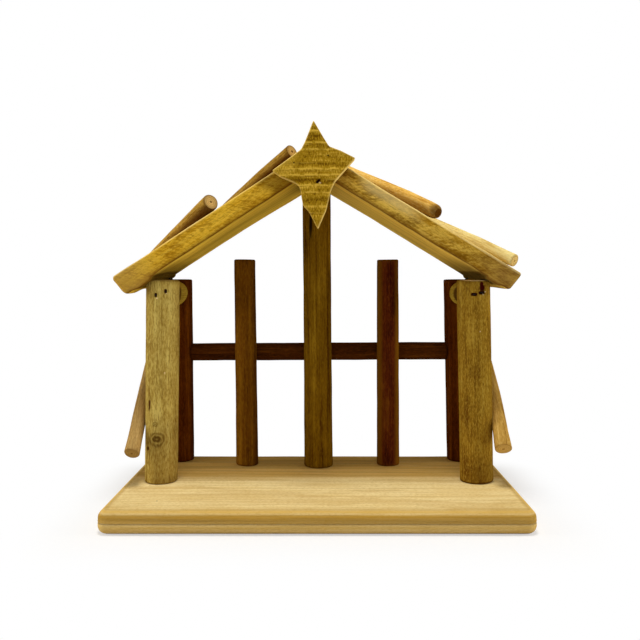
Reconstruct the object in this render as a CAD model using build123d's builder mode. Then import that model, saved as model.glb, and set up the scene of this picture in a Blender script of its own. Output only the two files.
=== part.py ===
"""Wooden nativity stable: a rounded base board, round log posts and beams, a fence-like back wall,
two thick roof boards with slanting sticks laid on them, outside braces and a sawn star at the gable.

Millimetres, +Z up, the open front faces -Y. The origin is the middle of the base board's underside.
"""

from build123d import *
from math import cos, radians, sin, sqrt, tan
import os

# Base board
base_width = 300.0
base_depth = 155.0
base_thickness = 16.0
base_corner_radius = 8.0
base_edge_radius = 5.0

# Corner posts
front_post_diameter = 25.5
rear_post_diameter = 23.5
post_height = 156.0
post_side_inset = 15.75
front_post_setback = 63.25
rear_post_inset = 2.25
post_edge_radius = 1.2

# Beams between the posts and under the ridge
side_beam_diameter = 20.4
side_beam_drop = 11.7
ridge_beam_diameter = 25.0
beam_edge_radius = 0.8

# Back wall
rail_diameter = 14.4
rail_height = 93.7
centre_post_diameter = 24.5
centre_post_offset = 2.3
short_post_diameter = 17.3
short_post_height = 173.0
short_post_shares = {"left": 0.496, "right": 0.484}

# Roof boards
roof_slope_left = 33.2
roof_slope_right = 31.8
eave_reach_left = 16.5
eave_reach_right = 14.5
roof_thickness = 14.0
roof_front_overhang = 4.25
roof_back_overhang = 2.25
eave_cut_angle = 8.0
eave_corner_radius = 3.0
roof_edge_radius = 1.2

# Sticks on the roof and braces on the sides
stick_diameter = 11.0
stick_turn = 45.0
stick_edge_radius = 0.8
stick_back_inset = 0.5
stick_place_shares = {
    "left_upper": ("left", 0.10),
    "left_lower": ("left", 0.487),
    "right_upper": ("right", 0.584),
    "right_lower": ("right", 0.956),
}
brace_left_slope = 44.0
brace_right_slope = 39.5
brace_left_foot_height = 25.5
brace_right_foot_height = 28.6
brace_left_foot_reach = 19.5
brace_right_foot_reach = 23.5
brace_head_reach = 9.5

# Star
star_height = 81.0
star_width = 62.0
star_thickness = 9.0
star_drop = 21.7
star_corner_radius = 5.0
star_edge_radius = 0.8
star_outline_shares = (
    (-0.03, 0.48),
    (-0.17, 0.22),
    (-0.53, 0.01),
    (-0.26, -0.11),
    (-0.18, -0.19),
    (0.02, -0.52),
    (0.17, -0.20),
    (0.22, -0.10),
    (0.47, 0.12),
    (0.15, 0.24),
    (0.09, 0.31),
)
star_inner_corner_shares = ((-0.17, 0.22), (-0.18, -0.19), (0.17, -0.20), (0.15, 0.24))

# Brads: flat wire nails with a T head, driven below the surface
brad_width = 1.2
brad_thickness = 1.0
brad_head_width = 2.0
brad_head_height = 0.8
brad_sink = 1.0
beam_brad_length = 38.0
rail_brad_length = 22.0
roof_brad_length = 38.0
ridge_brad_length = 22.0
stick_brad_length = 16.0
brace_brad_length = 22.0
star_brad_length = 25.0
roof_brad_inset = 6.0
roof_brad_spread = 8.0
stick_brad_margin = 20.0
brad_clearance = 0.05
beam_brad_shares = {
    "left": ((0.22, 0.03), (-0.50, 0.31)),
    "right": ((-0.22, 0.07), (0.33, 0.20)),
}
ridge_beam_brad_shares = (-0.35, 0.35)
ridge_brad_shares = (0.45, 0.65)
star_brad_shares = ((0.027, -0.10), (-0.26, 0.08), (0.155, 0.10))

# Screws up through the base
screw_diameter = 4.0
screw_head_diameter = 8.0
screw_head_height = 2.2
screw_length = 40.0
screw_tip_length = 6.0
screw_recess = 0.5
screw_slot_width = 1.0
screw_slot_length = 4.4
screw_slot_depth = 1.4
screw_clearance = 0.1

# Fits and cuts
joint_gap = 0.1
cut_overrun = 4.0

# Which way each side and each face lies along X and Y
side_shares = {"left": -1, "right": 1}
front_share = -1
back_share = 1

# Places of the posts
post_top = base_thickness + post_height
post_outside = base_width / 2 - post_side_inset
front_post_x = post_outside - front_post_diameter / 2
rear_post_x = post_outside - rear_post_diameter / 2
front_post_y = -base_depth / 2 + front_post_setback + front_post_diameter / 2
rear_post_y = base_depth / 2 - rear_post_inset - rear_post_diameter / 2

# Places of the beams and of the back wall
beam_z = post_top - side_beam_drop
beam_front_y = front_post_y + front_post_diameter / 2 + joint_gap
beam_back_y = rear_post_y - rear_post_diameter / 2 - joint_gap
rail_z = base_thickness + rail_height
rail_end_x = rear_post_x - rear_post_diameter / 2 - joint_gap
rail_front_y = rear_post_y - rail_diameter / 2 - joint_gap
centre_post_y = rail_front_y - centre_post_diameter / 2
short_post_y = rail_front_y - short_post_diameter / 2

# The roof's undersides rest on the rounded outer rims of the posts, and their tops meet at the ridge
slope = {"left": roof_slope_left, "right": roof_slope_right}
eave_reach = {"left": eave_reach_left, "right": eave_reach_right}
roof_front_y = front_post_y - front_post_diameter / 2 - roof_front_overhang
roof_back_y = rear_post_y + rear_post_diameter / 2 + roof_back_overhang
roof_depth = roof_back_y - roof_front_y


def down_slope(side):
    """Unit vector that runs down a roof board, from the ridge to the eave."""
    return Vector(side_shares[side] * cos(radians(slope[side])), 0, -sin(radians(slope[side])))


def roof_normal(side):
    """Unit vector that stands out of a roof board's top."""
    return Vector(side_shares[side] * sin(radians(slope[side])), 0, cos(radians(slope[side])))


def top_at_seat(side):
    """Point of a roof board's top plane above the rim of the posts that carry it."""
    rim_x = side_shares[side] * (post_outside - post_edge_radius)
    rim_centre = Vector(rim_x, 0, post_top - post_edge_radius)
    return rim_centre + roof_normal(side) * (post_edge_radius + joint_gap + roof_thickness)


seat_left = top_at_seat("left")
seat_right = top_at_seat("right")
tan_left = tan(radians(roof_slope_left))
tan_right = tan(radians(roof_slope_right))
ridge_x = (
    seat_right.Z - seat_left.Z + tan_right * seat_right.X + tan_left * seat_left.X
) / (tan_left + tan_right)
ridge_z = seat_left.Z + tan_left * (ridge_x - seat_left.X)
ridge = Vector(ridge_x, 0, ridge_z)
under_ridge = {side: ridge_z - roof_thickness / cos(radians(slope[side])) for side in slope}
board_length = {
    side: (top_at_seat(side) - ridge).dot(down_slope(side)) + eave_reach[side] for side in slope
}


def roof_point(side, along, y, lift):
    """Point of a roof board: distance down from the ridge, depth y, height over the top plane."""
    return ridge + down_slope(side) * along + roof_normal(side) * lift + Vector(0, y, 0)


# The centre post stands under the ridge, and each short post part of the way from it to a rear post
centre_post_x = ridge_x + centre_post_offset
short_post_x = {
    side: centre_post_x + share * (side_shares[side] * rear_post_x - centre_post_x)
    for side, share in short_post_shares.items()
}

# The ridge beam nests in the corner between the two undersides
corner_half_angle = radians(180 - roof_slope_left - roof_slope_right) / 2
corner_lean = radians(roof_slope_left - roof_slope_right) / 2
corner_z = min(under_ridge.values())
beam_depth = (ridge_beam_diameter / 2 + joint_gap) / sin(corner_half_angle)
ridge_beam_x = ridge_x + beam_depth * sin(corner_lean)
ridge_beam_z = corner_z - beam_depth * cos(corner_lean)
ridge_beam_back_y = centre_post_y - centre_post_diameter / 2 - joint_gap

# The star lies flat on the front of the roof and of the ridge beam
star_x = centre_post_x
star_z = ridge_z - star_drop


def rim_y(centre_y, diameter, offset, towards):
    """Depth of a round upright's surface at a sideways offset from its axis."""
    return centre_y + towards * sqrt((diameter / 2) ** 2 - offset**2)


# Seats of the brads: planes at the top of each head, with the drive along their -Z


def beam_seats(side):
    """Brads through the front post and the rear post into the two ends of a side beam."""
    seats = []
    uprights = (
        (front_post_x, front_post_y, front_post_diameter, front_share),
        (rear_post_x, rear_post_y, rear_post_diameter, back_share),
    )
    for post_x, post_y, diameter, towards in uprights:
        for out_share, up_share in beam_brad_shares[side]:
            offset = out_share * side_beam_diameter / 2
            x = front_post_x + offset
            y = rim_y(post_y, diameter, x - post_x, towards) - towards * brad_sink
            z = beam_z + up_share * side_beam_diameter / 2
            head = Vector(side_shares[side] * x, y, z)
            seats.append(Plane(head, x_dir=(1, 0, 0), z_dir=(0, towards, 0)))
    return seats


def ridge_beam_seats():
    """Brads from behind the centre post into the end of the ridge beam."""
    seats = []
    for share in ridge_beam_brad_shares:
        x = ridge_beam_x + share * ridge_beam_diameter / 2
        y = rim_y(centre_post_y, centre_post_diameter, x - centre_post_x, back_share) - brad_sink
        seats.append(Plane(Vector(x, y, ridge_beam_z), x_dir=(1, 0, 0), z_dir=(0, 1, 0)))
    return seats


def rail_end_seat(side):
    """Brad from the outside of a rear post into the end of the rail."""
    head = Vector(side_shares[side] * (post_outside - brad_sink), rear_post_y, rail_z)
    return Plane(head, x_dir=(0, 1, 0), z_dir=(side_shares[side], 0, 0))


def rail_back_seat(x):
    """Brad from behind the rail into one of the inner uprights."""
    head = Vector(x, rear_post_y + rail_diameter / 2 - brad_sink, rail_z)
    return Plane(head, x_dir=(0, 0, 1), z_dir=(0, 1, 0))


def roof_post_seats(side, post_y):
    """Pair of brads square through a roof board into the top of a corner post."""
    top = Vector(side_shares[side] * (post_outside - roof_brad_inset), post_y, post_top)
    rise = (ridge - top).dot(roof_normal(side)) - brad_sink
    head = top + roof_normal(side) * rise
    shift = Vector(0, roof_brad_spread / 2, 0)
    heads = (head - shift, head + shift)
    return [Plane(place, x_dir=(0, 1, 0), z_dir=roof_normal(side)) for place in heads]


def roof_ridge_seats(side):
    """Brads square through a roof board, aimed at the axis of the ridge beam."""
    seats = []
    rise = ridge_beam_diameter / 2 + joint_gap + roof_thickness - brad_sink
    for share in ridge_brad_shares:
        y = roof_front_y + share * (ridge_beam_back_y - roof_front_y)
        head = Vector(ridge_beam_x, y, ridge_beam_z) + roof_normal(side) * rise
        seats.append(Plane(head, x_dir=(0, 1, 0), z_dir=roof_normal(side)))
    return seats


# The front rim of each stick lies flush with the front of the roof, and its back rim just inside the back
stick_rim_reach = stick_diameter / 2 * sin(radians(stick_turn))
stick_length = (roof_depth - 2 * stick_rim_reach - stick_back_inset) / cos(radians(stick_turn))


def stick_axis(name):
    """Front end and direction of a roof stick: going back, the left ones fall and the right ones rise."""
    side, share = stick_place_shares[name]
    along_slope = share * board_length[side]
    start = roof_point(side, along_slope, roof_front_y + stick_rim_reach, stick_diameter / 2 + joint_gap)
    across = down_slope(side) * (-side_shares[side] * sin(radians(stick_turn)))
    return start, across + Vector(0, cos(radians(stick_turn)), 0)


def stick_seats(name):
    """Two brads through a roof stick into its board."""
    side = stick_place_shares[name][0]
    start, along = stick_axis(name)
    rise = roof_normal(side) * (stick_diameter / 2 - brad_sink)
    heads = [start + along * reach + rise for reach in (stick_brad_margin, stick_length - stick_brad_margin)]
    return [Plane(head, x_dir=along, z_dir=roof_normal(side)) for head in heads]


def brace_axis(side):
    """Foot, direction and length of an outside brace, which rises towards the back."""
    angle = {"left": brace_left_slope, "right": brace_right_slope}[side]
    height = {"left": brace_left_foot_height, "right": brace_right_foot_height}[side]
    reach = {"left": brace_left_foot_reach, "right": brace_right_foot_reach}[side]
    x = side_shares[side] * (post_outside + joint_gap + stick_diameter / 2)
    foot = Vector(x, front_post_y - reach, base_thickness + height)
    length = (rear_post_y + brace_head_reach - foot.Y) / cos(radians(angle))
    return foot, Vector(0, cos(radians(angle)), sin(radians(angle))), length


def brace_seats(side):
    """Brads through a brace into the front post and the rear post."""
    foot, along, _ = brace_axis(side)
    out = Vector(side_shares[side] * (stick_diameter / 2 - brad_sink), 0, 0)
    heads = [foot + along * ((post_y - foot.Y) / along.Y) + out for post_y in (front_post_y, rear_post_y)]
    return [Plane(head, x_dir=along, z_dir=(side_shares[side], 0, 0)) for head in heads]


def star_seats():
    """Brads through the star: one into the ridge beam, one into each roof board."""
    y = roof_front_y - joint_gap - star_thickness + brad_sink
    seats = []
    for x_share, z_share in star_brad_shares:
        head = Vector(star_x + x_share * star_width, y, star_z + z_share * star_height)
        seats.append(Plane(head, x_dir=(0, 0, 1), z_dir=(0, -1, 0)))
    return seats


def brad(seat, length):
    """One brad: a flat shank under a T head."""
    with BuildPart() as piece:
        with BuildSketch(seat):
            Rectangle(brad_width, brad_thickness)
        extrude(amount=-length)
        with BuildSketch(seat):
            Rectangle(brad_head_width, brad_thickness)
        extrude(amount=-brad_head_height)
    return piece.part


def brad_hole(seat, length):
    """Hole that a brad leaves: its own shape with a little room, open above the sunk head."""
    with BuildPart() as cutter:
        with BuildSketch(seat):
            Rectangle(brad_width + 2 * brad_clearance, brad_thickness + 2 * brad_clearance)
        extrude(amount=-length - brad_clearance)
        with BuildSketch(seat.offset(-brad_head_height - brad_clearance)):
            Rectangle(brad_head_width + 2 * brad_clearance, brad_thickness + 2 * brad_clearance)
        extrude(amount=brad_head_height + brad_clearance + brad_sink + cut_overrun)
    return cutter.part


def screw(place, room):
    """Countersunk wood screw that points up, grown all round by some room when it is used as a cutter."""
    head = screw_head_diameter / 2 + room
    shank = screw_diameter / 2 + room
    shoulder = screw_recess + screw_head_height
    tip = screw_recess + screw_length + room
    with BuildPart() as piece:
        with BuildSketch(Plane(place, x_dir=(1, 0, 0), z_dir=(0, -1, 0))):
            with BuildLine():
                Polyline(
                    (0, screw_recess),
                    (head, screw_recess),
                    (shank, shoulder),
                    (shank, tip - screw_tip_length),
                    (0, tip),
                    close=True,
                )
            make_face()
        revolve(axis=Axis(place, (0, 0, 1)))
    return piece.part


def log(start, along, diameter, length, edge_radius):
    """Round log from a point along a direction, with both rims eased."""
    with BuildPart() as piece:
        with BuildSketch(Plane(start, z_dir=along)):
            Circle(diameter / 2)
        extrude(amount=length)
        fillet(piece.edges().filter_by(GeomType.CIRCLE), edge_radius)
    return piece.part


def save(piece, label):
    """Label a finished piece and write it out."""
    piece.label = label
    export_step(piece, f"parts/{label}.step")


os.makedirs("parts", exist_ok=True)

uprights = {
    "front_post_left": (-front_post_x, front_post_y),
    "front_post_right": (front_post_x, front_post_y),
    "rear_post_left": (-rear_post_x, rear_post_y),
    "rear_post_right": (rear_post_x, rear_post_y),
    "centre_post": (centre_post_x, centre_post_y),
    "short_post_left": (short_post_x["left"], short_post_y),
    "short_post_right": (short_post_x["right"], short_post_y),
}
screw_places = {name: Vector(x, y, 0) for name, (x, y) in uprights.items()}
upright_feet = {name: Vector(x, y, base_thickness) for name, (x, y) in uprights.items()}
up = Vector(0, 0, 1)
back = Vector(0, 1, 0)

# Base board: rounded corners, rounded-over edges, countersunk holes from below
with BuildPart() as base_board:
    with BuildSketch():
        RectangleRounded(base_width, base_depth, base_corner_radius)
    extrude(amount=base_thickness)
    fillet(base_board.edges().group_by(Axis.Z)[0], base_edge_radius)
    fillet(base_board.edges().group_by(Axis.Z)[-1], base_edge_radius)
    for place in screw_places.values():
        add(screw(place, screw_clearance), mode=Mode.SUBTRACT)
        with BuildSketch(Plane(place)):
            Circle(screw_head_diameter / 2 + screw_clearance)
        extrude(amount=screw_recess, mode=Mode.SUBTRACT)
save(base_board.part, "base_board")

# Corner posts: drilled by the base screws and by the brads that cross them
for side in slope:
    front_name = f"front_post_{side}"
    front_holes = [brad_hole(seat, beam_brad_length) for seat in beam_seats(side)]
    front_holes += [brad_hole(seat, roof_brad_length) for seat in roof_post_seats(side, front_post_y)]
    front_holes += [brad_hole(brace_seats(side)[0], brace_brad_length)]
    with BuildPart() as front_post:
        add(log(upright_feet[front_name], up, front_post_diameter, post_height, post_edge_radius))
        add(screw(screw_places[front_name], screw_clearance), mode=Mode.SUBTRACT)
        add(front_holes, mode=Mode.SUBTRACT)
    save(front_post.part, front_name)

    rear_name = f"rear_post_{side}"
    rear_holes = [brad_hole(seat, beam_brad_length) for seat in beam_seats(side)]
    rear_holes += [brad_hole(seat, roof_brad_length) for seat in roof_post_seats(side, rear_post_y)]
    rear_holes += [brad_hole(brace_seats(side)[1], brace_brad_length)]
    rear_holes += [brad_hole(rail_end_seat(side), beam_brad_length)]
    with BuildPart() as rear_post:
        add(log(upright_feet[rear_name], up, rear_post_diameter, post_height, post_edge_radius))
        add(screw(screw_places[rear_name], screw_clearance), mode=Mode.SUBTRACT)
        add(rear_holes, mode=Mode.SUBTRACT)
    save(rear_post.part, rear_name)

# Side beams: short logs with flat ends that meet the round posts
for side in slope:
    start = Vector(side_shares[side] * front_post_x, beam_front_y, beam_z)
    beam_holes = [brad_hole(seat, beam_brad_length) for seat in beam_seats(side)]
    with BuildPart() as side_beam:
        add(log(start, back, side_beam_diameter, beam_back_y - beam_front_y, beam_edge_radius))
        add(beam_holes, mode=Mode.SUBTRACT)
    save(side_beam.part, f"side_beam_{side}")

# Ridge beam: nested under the ridge, from the star back to the centre post
ridge_beam_start = Vector(ridge_beam_x, roof_front_y, ridge_beam_z)
ridge_beam_length = ridge_beam_back_y - roof_front_y
ridge_beam_holes = [brad_hole(seat, beam_brad_length) for seat in ridge_beam_seats()]
ridge_beam_holes += [brad_hole(star_seats()[0], star_brad_length)]
for side in slope:
    ridge_beam_holes += [brad_hole(seat, ridge_brad_length) for seat in roof_ridge_seats(side)]
with BuildPart() as ridge_beam:
    add(log(ridge_beam_start, back, ridge_beam_diameter, ridge_beam_length, beam_edge_radius))
    add(ridge_beam_holes, mode=Mode.SUBTRACT)
save(ridge_beam.part, "ridge_beam")

# Centre post: its top is sawn to a gable that fits under both roof boards
centre_height = ridge_z - base_thickness
with BuildPart() as centre_post:
    add(log(upright_feet["centre_post"], up, centre_post_diameter, centre_height, post_edge_radius))
    for side in slope:
        with BuildSketch(Plane.XZ.offset(-centre_post_y)):
            with BuildLine():
                foot = roof_point(side, 0, 0, -roof_thickness - joint_gap)
                reach = down_slope(side) * (centre_post_diameter + roof_thickness)
                rise = roof_normal(side) * ridge_z
                corners = [foot - reach, foot + reach, foot + reach + rise, foot - reach + rise]
                Polyline([(corner.X, corner.Z) for corner in corners], close=True)
            make_face()
        extrude(amount=centre_post_diameter, both=True, mode=Mode.SUBTRACT)
    add(screw(screw_places["centre_post"], screw_clearance), mode=Mode.SUBTRACT)
    for seat in ridge_beam_seats():
        add(brad_hole(seat, beam_brad_length), mode=Mode.SUBTRACT)
    add(brad_hole(rail_back_seat(centre_post_x), rail_brad_length), mode=Mode.SUBTRACT)
save(centre_post.part, "centre_post")

# Short posts with free tops
for name in ("short_post_left", "short_post_right"):
    foot = upright_feet[name]
    with BuildPart() as short_post:
        add(log(foot, up, short_post_diameter, short_post_height, post_edge_radius))
        add(screw(screw_places[name], screw_clearance), mode=Mode.SUBTRACT)
        add(brad_hole(rail_back_seat(foot.X), rail_brad_length), mode=Mode.SUBTRACT)
    save(short_post.part, name)

# Rail behind the inner uprights, from rear post to rear post
rail_start = Vector(-rail_end_x, rear_post_y, rail_z)
inner_uprights = ("centre_post", "short_post_left", "short_post_right")
rail_back_seats = [rail_back_seat(upright_feet[name].X) for name in inner_uprights]
with BuildPart() as back_rail:
    add(log(rail_start, Vector(1, 0, 0), rail_diameter, 2 * rail_end_x, beam_edge_radius))
    for seat in rail_back_seats:
        add(brad_hole(seat, rail_brad_length), mode=Mode.SUBTRACT)
    for side in slope:
        add(brad_hole(rail_end_seat(side), beam_brad_length), mode=Mode.SUBTRACT)
save(back_rail.part, "back_rail")

# Roof boards: mitred at the ridge, undercut at the eave
star_brad_in_board = {"left": star_seats()[1], "right": star_seats()[2]}
for side in slope:
    undercut = roof_thickness * tan(radians(eave_cut_angle))
    eave_top = roof_point(side, board_length[side], 0, 0)
    eave_under = roof_point(side, board_length[side] - undercut, 0, -roof_thickness)
    outline = [ridge, eave_top, eave_under, Vector(ridge_x, 0, under_ridge[side])]
    board_holes = [brad_hole(seat, roof_brad_length) for seat in roof_post_seats(side, front_post_y)]
    board_holes += [brad_hole(seat, roof_brad_length) for seat in roof_post_seats(side, rear_post_y)]
    board_holes += [brad_hole(seat, ridge_brad_length) for seat in roof_ridge_seats(side)]
    board_holes += [brad_hole(star_brad_in_board[side], star_brad_length)]
    for name, (stick_side, _) in stick_place_shares.items():
        if stick_side == side:
            board_holes += [brad_hole(seat, stick_brad_length) for seat in stick_seats(name)]
    with BuildPart() as roof_board:
        with BuildSketch(Plane.XZ.offset(-roof_front_y)):
            with BuildLine():
                Polyline([(corner.X, corner.Z) for corner in outline], close=True)
            make_face()
        extrude(amount=-roof_depth)
        along_y = roof_board.edges().filter_by(Axis.Y)
        fillet(along_y.sort_by(lambda edge: -abs(edge.center().X - ridge_x))[:2], eave_corner_radius)
        for face in (roof_board.faces().sort_by(Axis.Y)[0], roof_board.faces().sort_by(Axis.Y)[-1]):
            fillet(face.edges().sort_by(lambda edge: abs(edge.center().X - ridge_x))[1:], roof_edge_radius)
        add(board_holes, mode=Mode.SUBTRACT)
    save(roof_board.part, f"roof_board_{side}")

# Sticks laid slantwise on the roof boards
for name in stick_place_shares:
    start, along = stick_axis(name)
    with BuildPart() as roof_stick:
        add(log(start, along, stick_diameter, stick_length, stick_edge_radius))
        for seat in stick_seats(name):
            add(brad_hole(seat, stick_brad_length), mode=Mode.SUBTRACT)
    save(roof_stick.part, f"roof_stick_{name}")

# Braces on the outside of each pair of posts
for side in slope:
    foot, along, length = brace_axis(side)
    with BuildPart() as brace:
        add(log(foot, along, stick_diameter, length, stick_edge_radius))
        for seat in brace_seats(side):
            add(brad_hole(seat, brace_brad_length), mode=Mode.SUBTRACT)
    save(brace.part, f"brace_{side}")

# Star: sawn outline with hollowed inner corners
with BuildPart() as star:
    star_back = Vector(star_x, roof_front_y - joint_gap, star_z)
    with BuildSketch(Plane(star_back, x_dir=(1, 0, 0), z_dir=(0, -1, 0))) as outline_sketch:
        with BuildLine():
            Polyline([(x * star_width, z * star_height) for x, z in star_outline_shares], close=True)
        make_face()
        corners = [Vector(x * star_width, z * star_height) for x, z in star_inner_corner_shares]
        for corner in corners:
            fillet(outline_sketch.vertices().sort_by_distance(corner)[0], star_corner_radius)
    extrude(amount=star_thickness)
    fillet(star.faces().sort_by(Axis.Y)[0].edges(), star_edge_radius)
    for seat in star_seats():
        add(brad_hole(seat, star_brad_length), mode=Mode.SUBTRACT)
save(star.part, "star")

# Screws up through the base, one into each upright
with BuildPart() as base_screws:
    for place in screw_places.values():
        add(screw(place, 0))
        for turn in (0, 90):
            with BuildSketch(Plane(place).offset(screw_recess)):
                Rectangle(screw_slot_length, screw_slot_width, rotation=turn)
            extrude(amount=screw_slot_depth, mode=Mode.SUBTRACT)
save(base_screws.part, "base_screws")

# Brads, one group for each joint that they hold
brad_groups = {
    "beam_brads": [(seat, beam_brad_length) for side in slope for seat in beam_seats(side)]
    + [(seat, beam_brad_length) for seat in ridge_beam_seats()],
    "rail_brads": [(rail_end_seat(side), beam_brad_length) for side in slope]
    + [(seat, rail_brad_length) for seat in rail_back_seats],
    "roof_brads": [
        (seat, roof_brad_length)
        for side in slope
        for post_y in (front_post_y, rear_post_y)
        for seat in roof_post_seats(side, post_y)
    ]
    + [(seat, ridge_brad_length) for side in slope for seat in roof_ridge_seats(side)],
    "stick_brads": [
        (seat, stick_brad_length) for name in stick_place_shares for seat in stick_seats(name)
    ],
    "brace_brads": [(seat, brace_brad_length) for side in slope for seat in brace_seats(side)],
    "star_brads": [(seat, star_brad_length) for seat in star_seats()],
}
for name, driven in brad_groups.items():
    with BuildPart() as brads:
        for seat, length in driven:
            add(brad(seat, length))
    save(brads.part, name)

print(f"ridge at x {ridge_x:.2f}, z {ridge_z:.2f}")
print(f"ridge beam axis at x {ridge_beam_x:.2f}, z {ridge_beam_z:.2f}")
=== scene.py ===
# %% [markdown]
# # A little wooden stable
#
# The real thing is a handmade stable about 30 cm wide. Peeled logs stand on a rounded base board, two
# thick boards make the roof, four sticks lie slantwise on it, and a sawn star is nailed to the gable. The
# CAD model gives every piece its place. Here each piece gets the shape that a hand and a saw left
# on it, and the wood its grain. We load the CAD model first.

import bpy
import numpy as np
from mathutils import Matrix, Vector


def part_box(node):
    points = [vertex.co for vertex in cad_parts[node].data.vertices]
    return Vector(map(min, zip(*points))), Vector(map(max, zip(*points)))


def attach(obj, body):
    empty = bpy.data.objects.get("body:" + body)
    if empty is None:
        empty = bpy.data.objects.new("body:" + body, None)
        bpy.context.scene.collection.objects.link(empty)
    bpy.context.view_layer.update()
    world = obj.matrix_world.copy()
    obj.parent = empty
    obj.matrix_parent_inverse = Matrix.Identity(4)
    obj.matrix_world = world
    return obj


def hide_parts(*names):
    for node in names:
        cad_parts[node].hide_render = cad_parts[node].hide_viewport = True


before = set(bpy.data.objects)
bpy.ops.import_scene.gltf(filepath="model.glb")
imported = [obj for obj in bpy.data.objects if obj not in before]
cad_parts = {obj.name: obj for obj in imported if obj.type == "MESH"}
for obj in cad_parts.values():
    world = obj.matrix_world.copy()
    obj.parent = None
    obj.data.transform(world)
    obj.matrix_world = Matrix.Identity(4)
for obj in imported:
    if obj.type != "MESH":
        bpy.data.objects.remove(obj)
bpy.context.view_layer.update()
root = "root"
mm = 0.001
print("nodes in the frame:", len(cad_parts))

# %% [markdown]
# ## Wires and finishes
#
# A material in Blender is a tree of nodes joined by wires. Clicking them together works well for one
# finish, but this stable has nearly twenty woods, so we write them as sums. `Wire` holds one socket and knows
# plus, minus, times and divide: each adds a Math node. `Finish` holds one material, and its `add`
# makes any other node from a type, its settings and what goes into its sockets.

# %% A wire that can be added and multiplied


class Wire:
    """One output socket of a material, usable in plain sums."""

    def __init__(self, finish, socket):
        self.finish = finish
        self.socket = socket

    def math(self, operation, first, second):
        """A Math node on two wires or numbers."""
        return self.finish.add("ShaderNodeMath", {"operation": operation}, {0: first, 1: second})

    def __add__(self, other):
        return self.math("ADD", self, other)

    def __sub__(self, other):
        return self.math("SUBTRACT", self, other)

    def __rsub__(self, other):
        return self.math("SUBTRACT", other, self)

    def __mul__(self, other):
        return self.math("MULTIPLY", self, other)

    def __truediv__(self, other):
        return self.math("DIVIDE", self, other)

    def __pow__(self, other):
        return self.math("POWER", self, other)

    __radd__ = __add__
    __rmul__ = __mul__


# %% A finish that grows node by node


def shade(red, green, blue):
    """Linear colour from the 0 to 255 numbers of a colour picker: the sRGB curve is undone."""
    part = np.array([red, green, blue]) / 255
    linear = np.where(part <= 0.04045, part / 12.92, ((part + 0.055) / 1.055) ** 2.4)
    return (*linear.tolist(), 1.0)


def dim(colour, share):
    """The same hue with only a share of its light."""
    return tuple(part * share for part in colour[:3]) + (1.0,)


class Finish:
    """A material in the making."""

    def __init__(self, name, owner=None):
        self.material = owner or bpy.data.materials.new(name)
        self.material.use_nodes = True
        self.tree = self.material.node_tree
        self.shader = self.tree.nodes.get("Principled BSDF")

    def add(self, kind, settings, values, out=0):
        """Any node: settings first, then the value or the wire of each named socket."""
        node = self.tree.nodes.new(kind)
        for key, value in settings.items():
            setattr(node, key, value)
        for key, value in values.items():
            self.plug(node.inputs[key], value)
        return Wire(self, node.outputs[out])

    def plug(self, socket, value):
        """Join a wire to a socket, or set the socket to a plain value."""
        if isinstance(value, Wire):
            self.tree.links.new(value.socket, socket)
        else:
            socket.default_value = value

    def read(self, layer):
        """A vector that the mesh carries at every point."""
        return self.add("ShaderNodeAttribute", {"attribute_name": layer}, {}, "Vector")

    def split(self, vector):
        """The three numbers of a vector."""
        parts = self.add("ShaderNodeSeparateXYZ", {}, {0: vector})
        return [Wire(self, socket) for socket in parts.socket.node.outputs]

    def join(self, x, y, z):
        """A vector from three numbers."""
        return self.add("ShaderNodeCombineXYZ", {}, {0: x, 1: y, 2: z})

    def noise(self, place, scale, detail=3.0, rough=0.55):
        """Cloudy noise from 0 to 1, squeezed or stretched along each axis (waves per metre)."""
        there = self.add("ShaderNodeMapping", {"vector_type": "POINT"}, {"Vector": place, "Scale": scale})
        values = {"Vector": there, "Scale": 1.0, "Detail": detail, "Roughness": rough}
        return self.add("ShaderNodeTexNoise", {"noise_dimensions": "3D"}, values)

    def step(self, value, low, high):
        """Smooth step: 0 below low, 1 above high."""
        values = {"Value": value, "From Min": low, "From Max": high}
        return self.add("ShaderNodeMapRange", {"interpolation_type": "SMOOTHSTEP"}, values)

    def mix(self, share, first, second):
        """Colour that goes from the first to the second as share goes from 0 to 1."""
        settings = {"data_type": "RGBA", "clamp_factor": True}
        return self.add("ShaderNodeMix", settings, {0: share, 6: first, 7: second}, 2)

    def sine(self, value):
        """Sine of a wire, moved into 0 to 1."""
        return self.add("ShaderNodeMath", {"operation": "SINE"}, {0: value}) * 0.5 + 0.5

    def length(self, x, y):
        """Distance of a point from an axis."""
        return (x * x + y * y) ** 0.5

    def close(self, colour, rough, height, bump, depth, specular=0.0):
        """Send the results to the shader: colour, roughness and a bump of so many metres."""
        normal = self.add("ShaderNodeBump", {}, {"Strength": bump, "Distance": depth, "Height": height})
        self.plug(self.shader.inputs["Base Color"], colour)
        self.plug(self.shader.inputs["Roughness"], rough)
        self.plug(self.shader.inputs["Normal"], normal)
        self.plug(self.shader.inputs["Specular IOR Level"], specular)
        return self.material


print("a finish has", len([name for name in vars(Finish) if not name.startswith("_")]), "helpers")

# %% [markdown]
# ## Rings into meshes
#
# A log, a board and even the star are closed bodies that a ring can sweep: it starts as a point, grows
# over one end face, runs along the piece, and shrinks to a point again. So one function is enough to
# turn rings into a mesh. It gets a grid of points, row after row of rings, and joins each point to its
# neighbours. The mesh also carries three vectors at every point for the finishes to read: `grain` is
# the place in the wood itself, `marks` says where the rim, a hole or an end face is, and `figure` holds
# what only some pieces have, such as the distance to a knot, a split or a saw line.

# %% Rings into a mesh object


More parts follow.
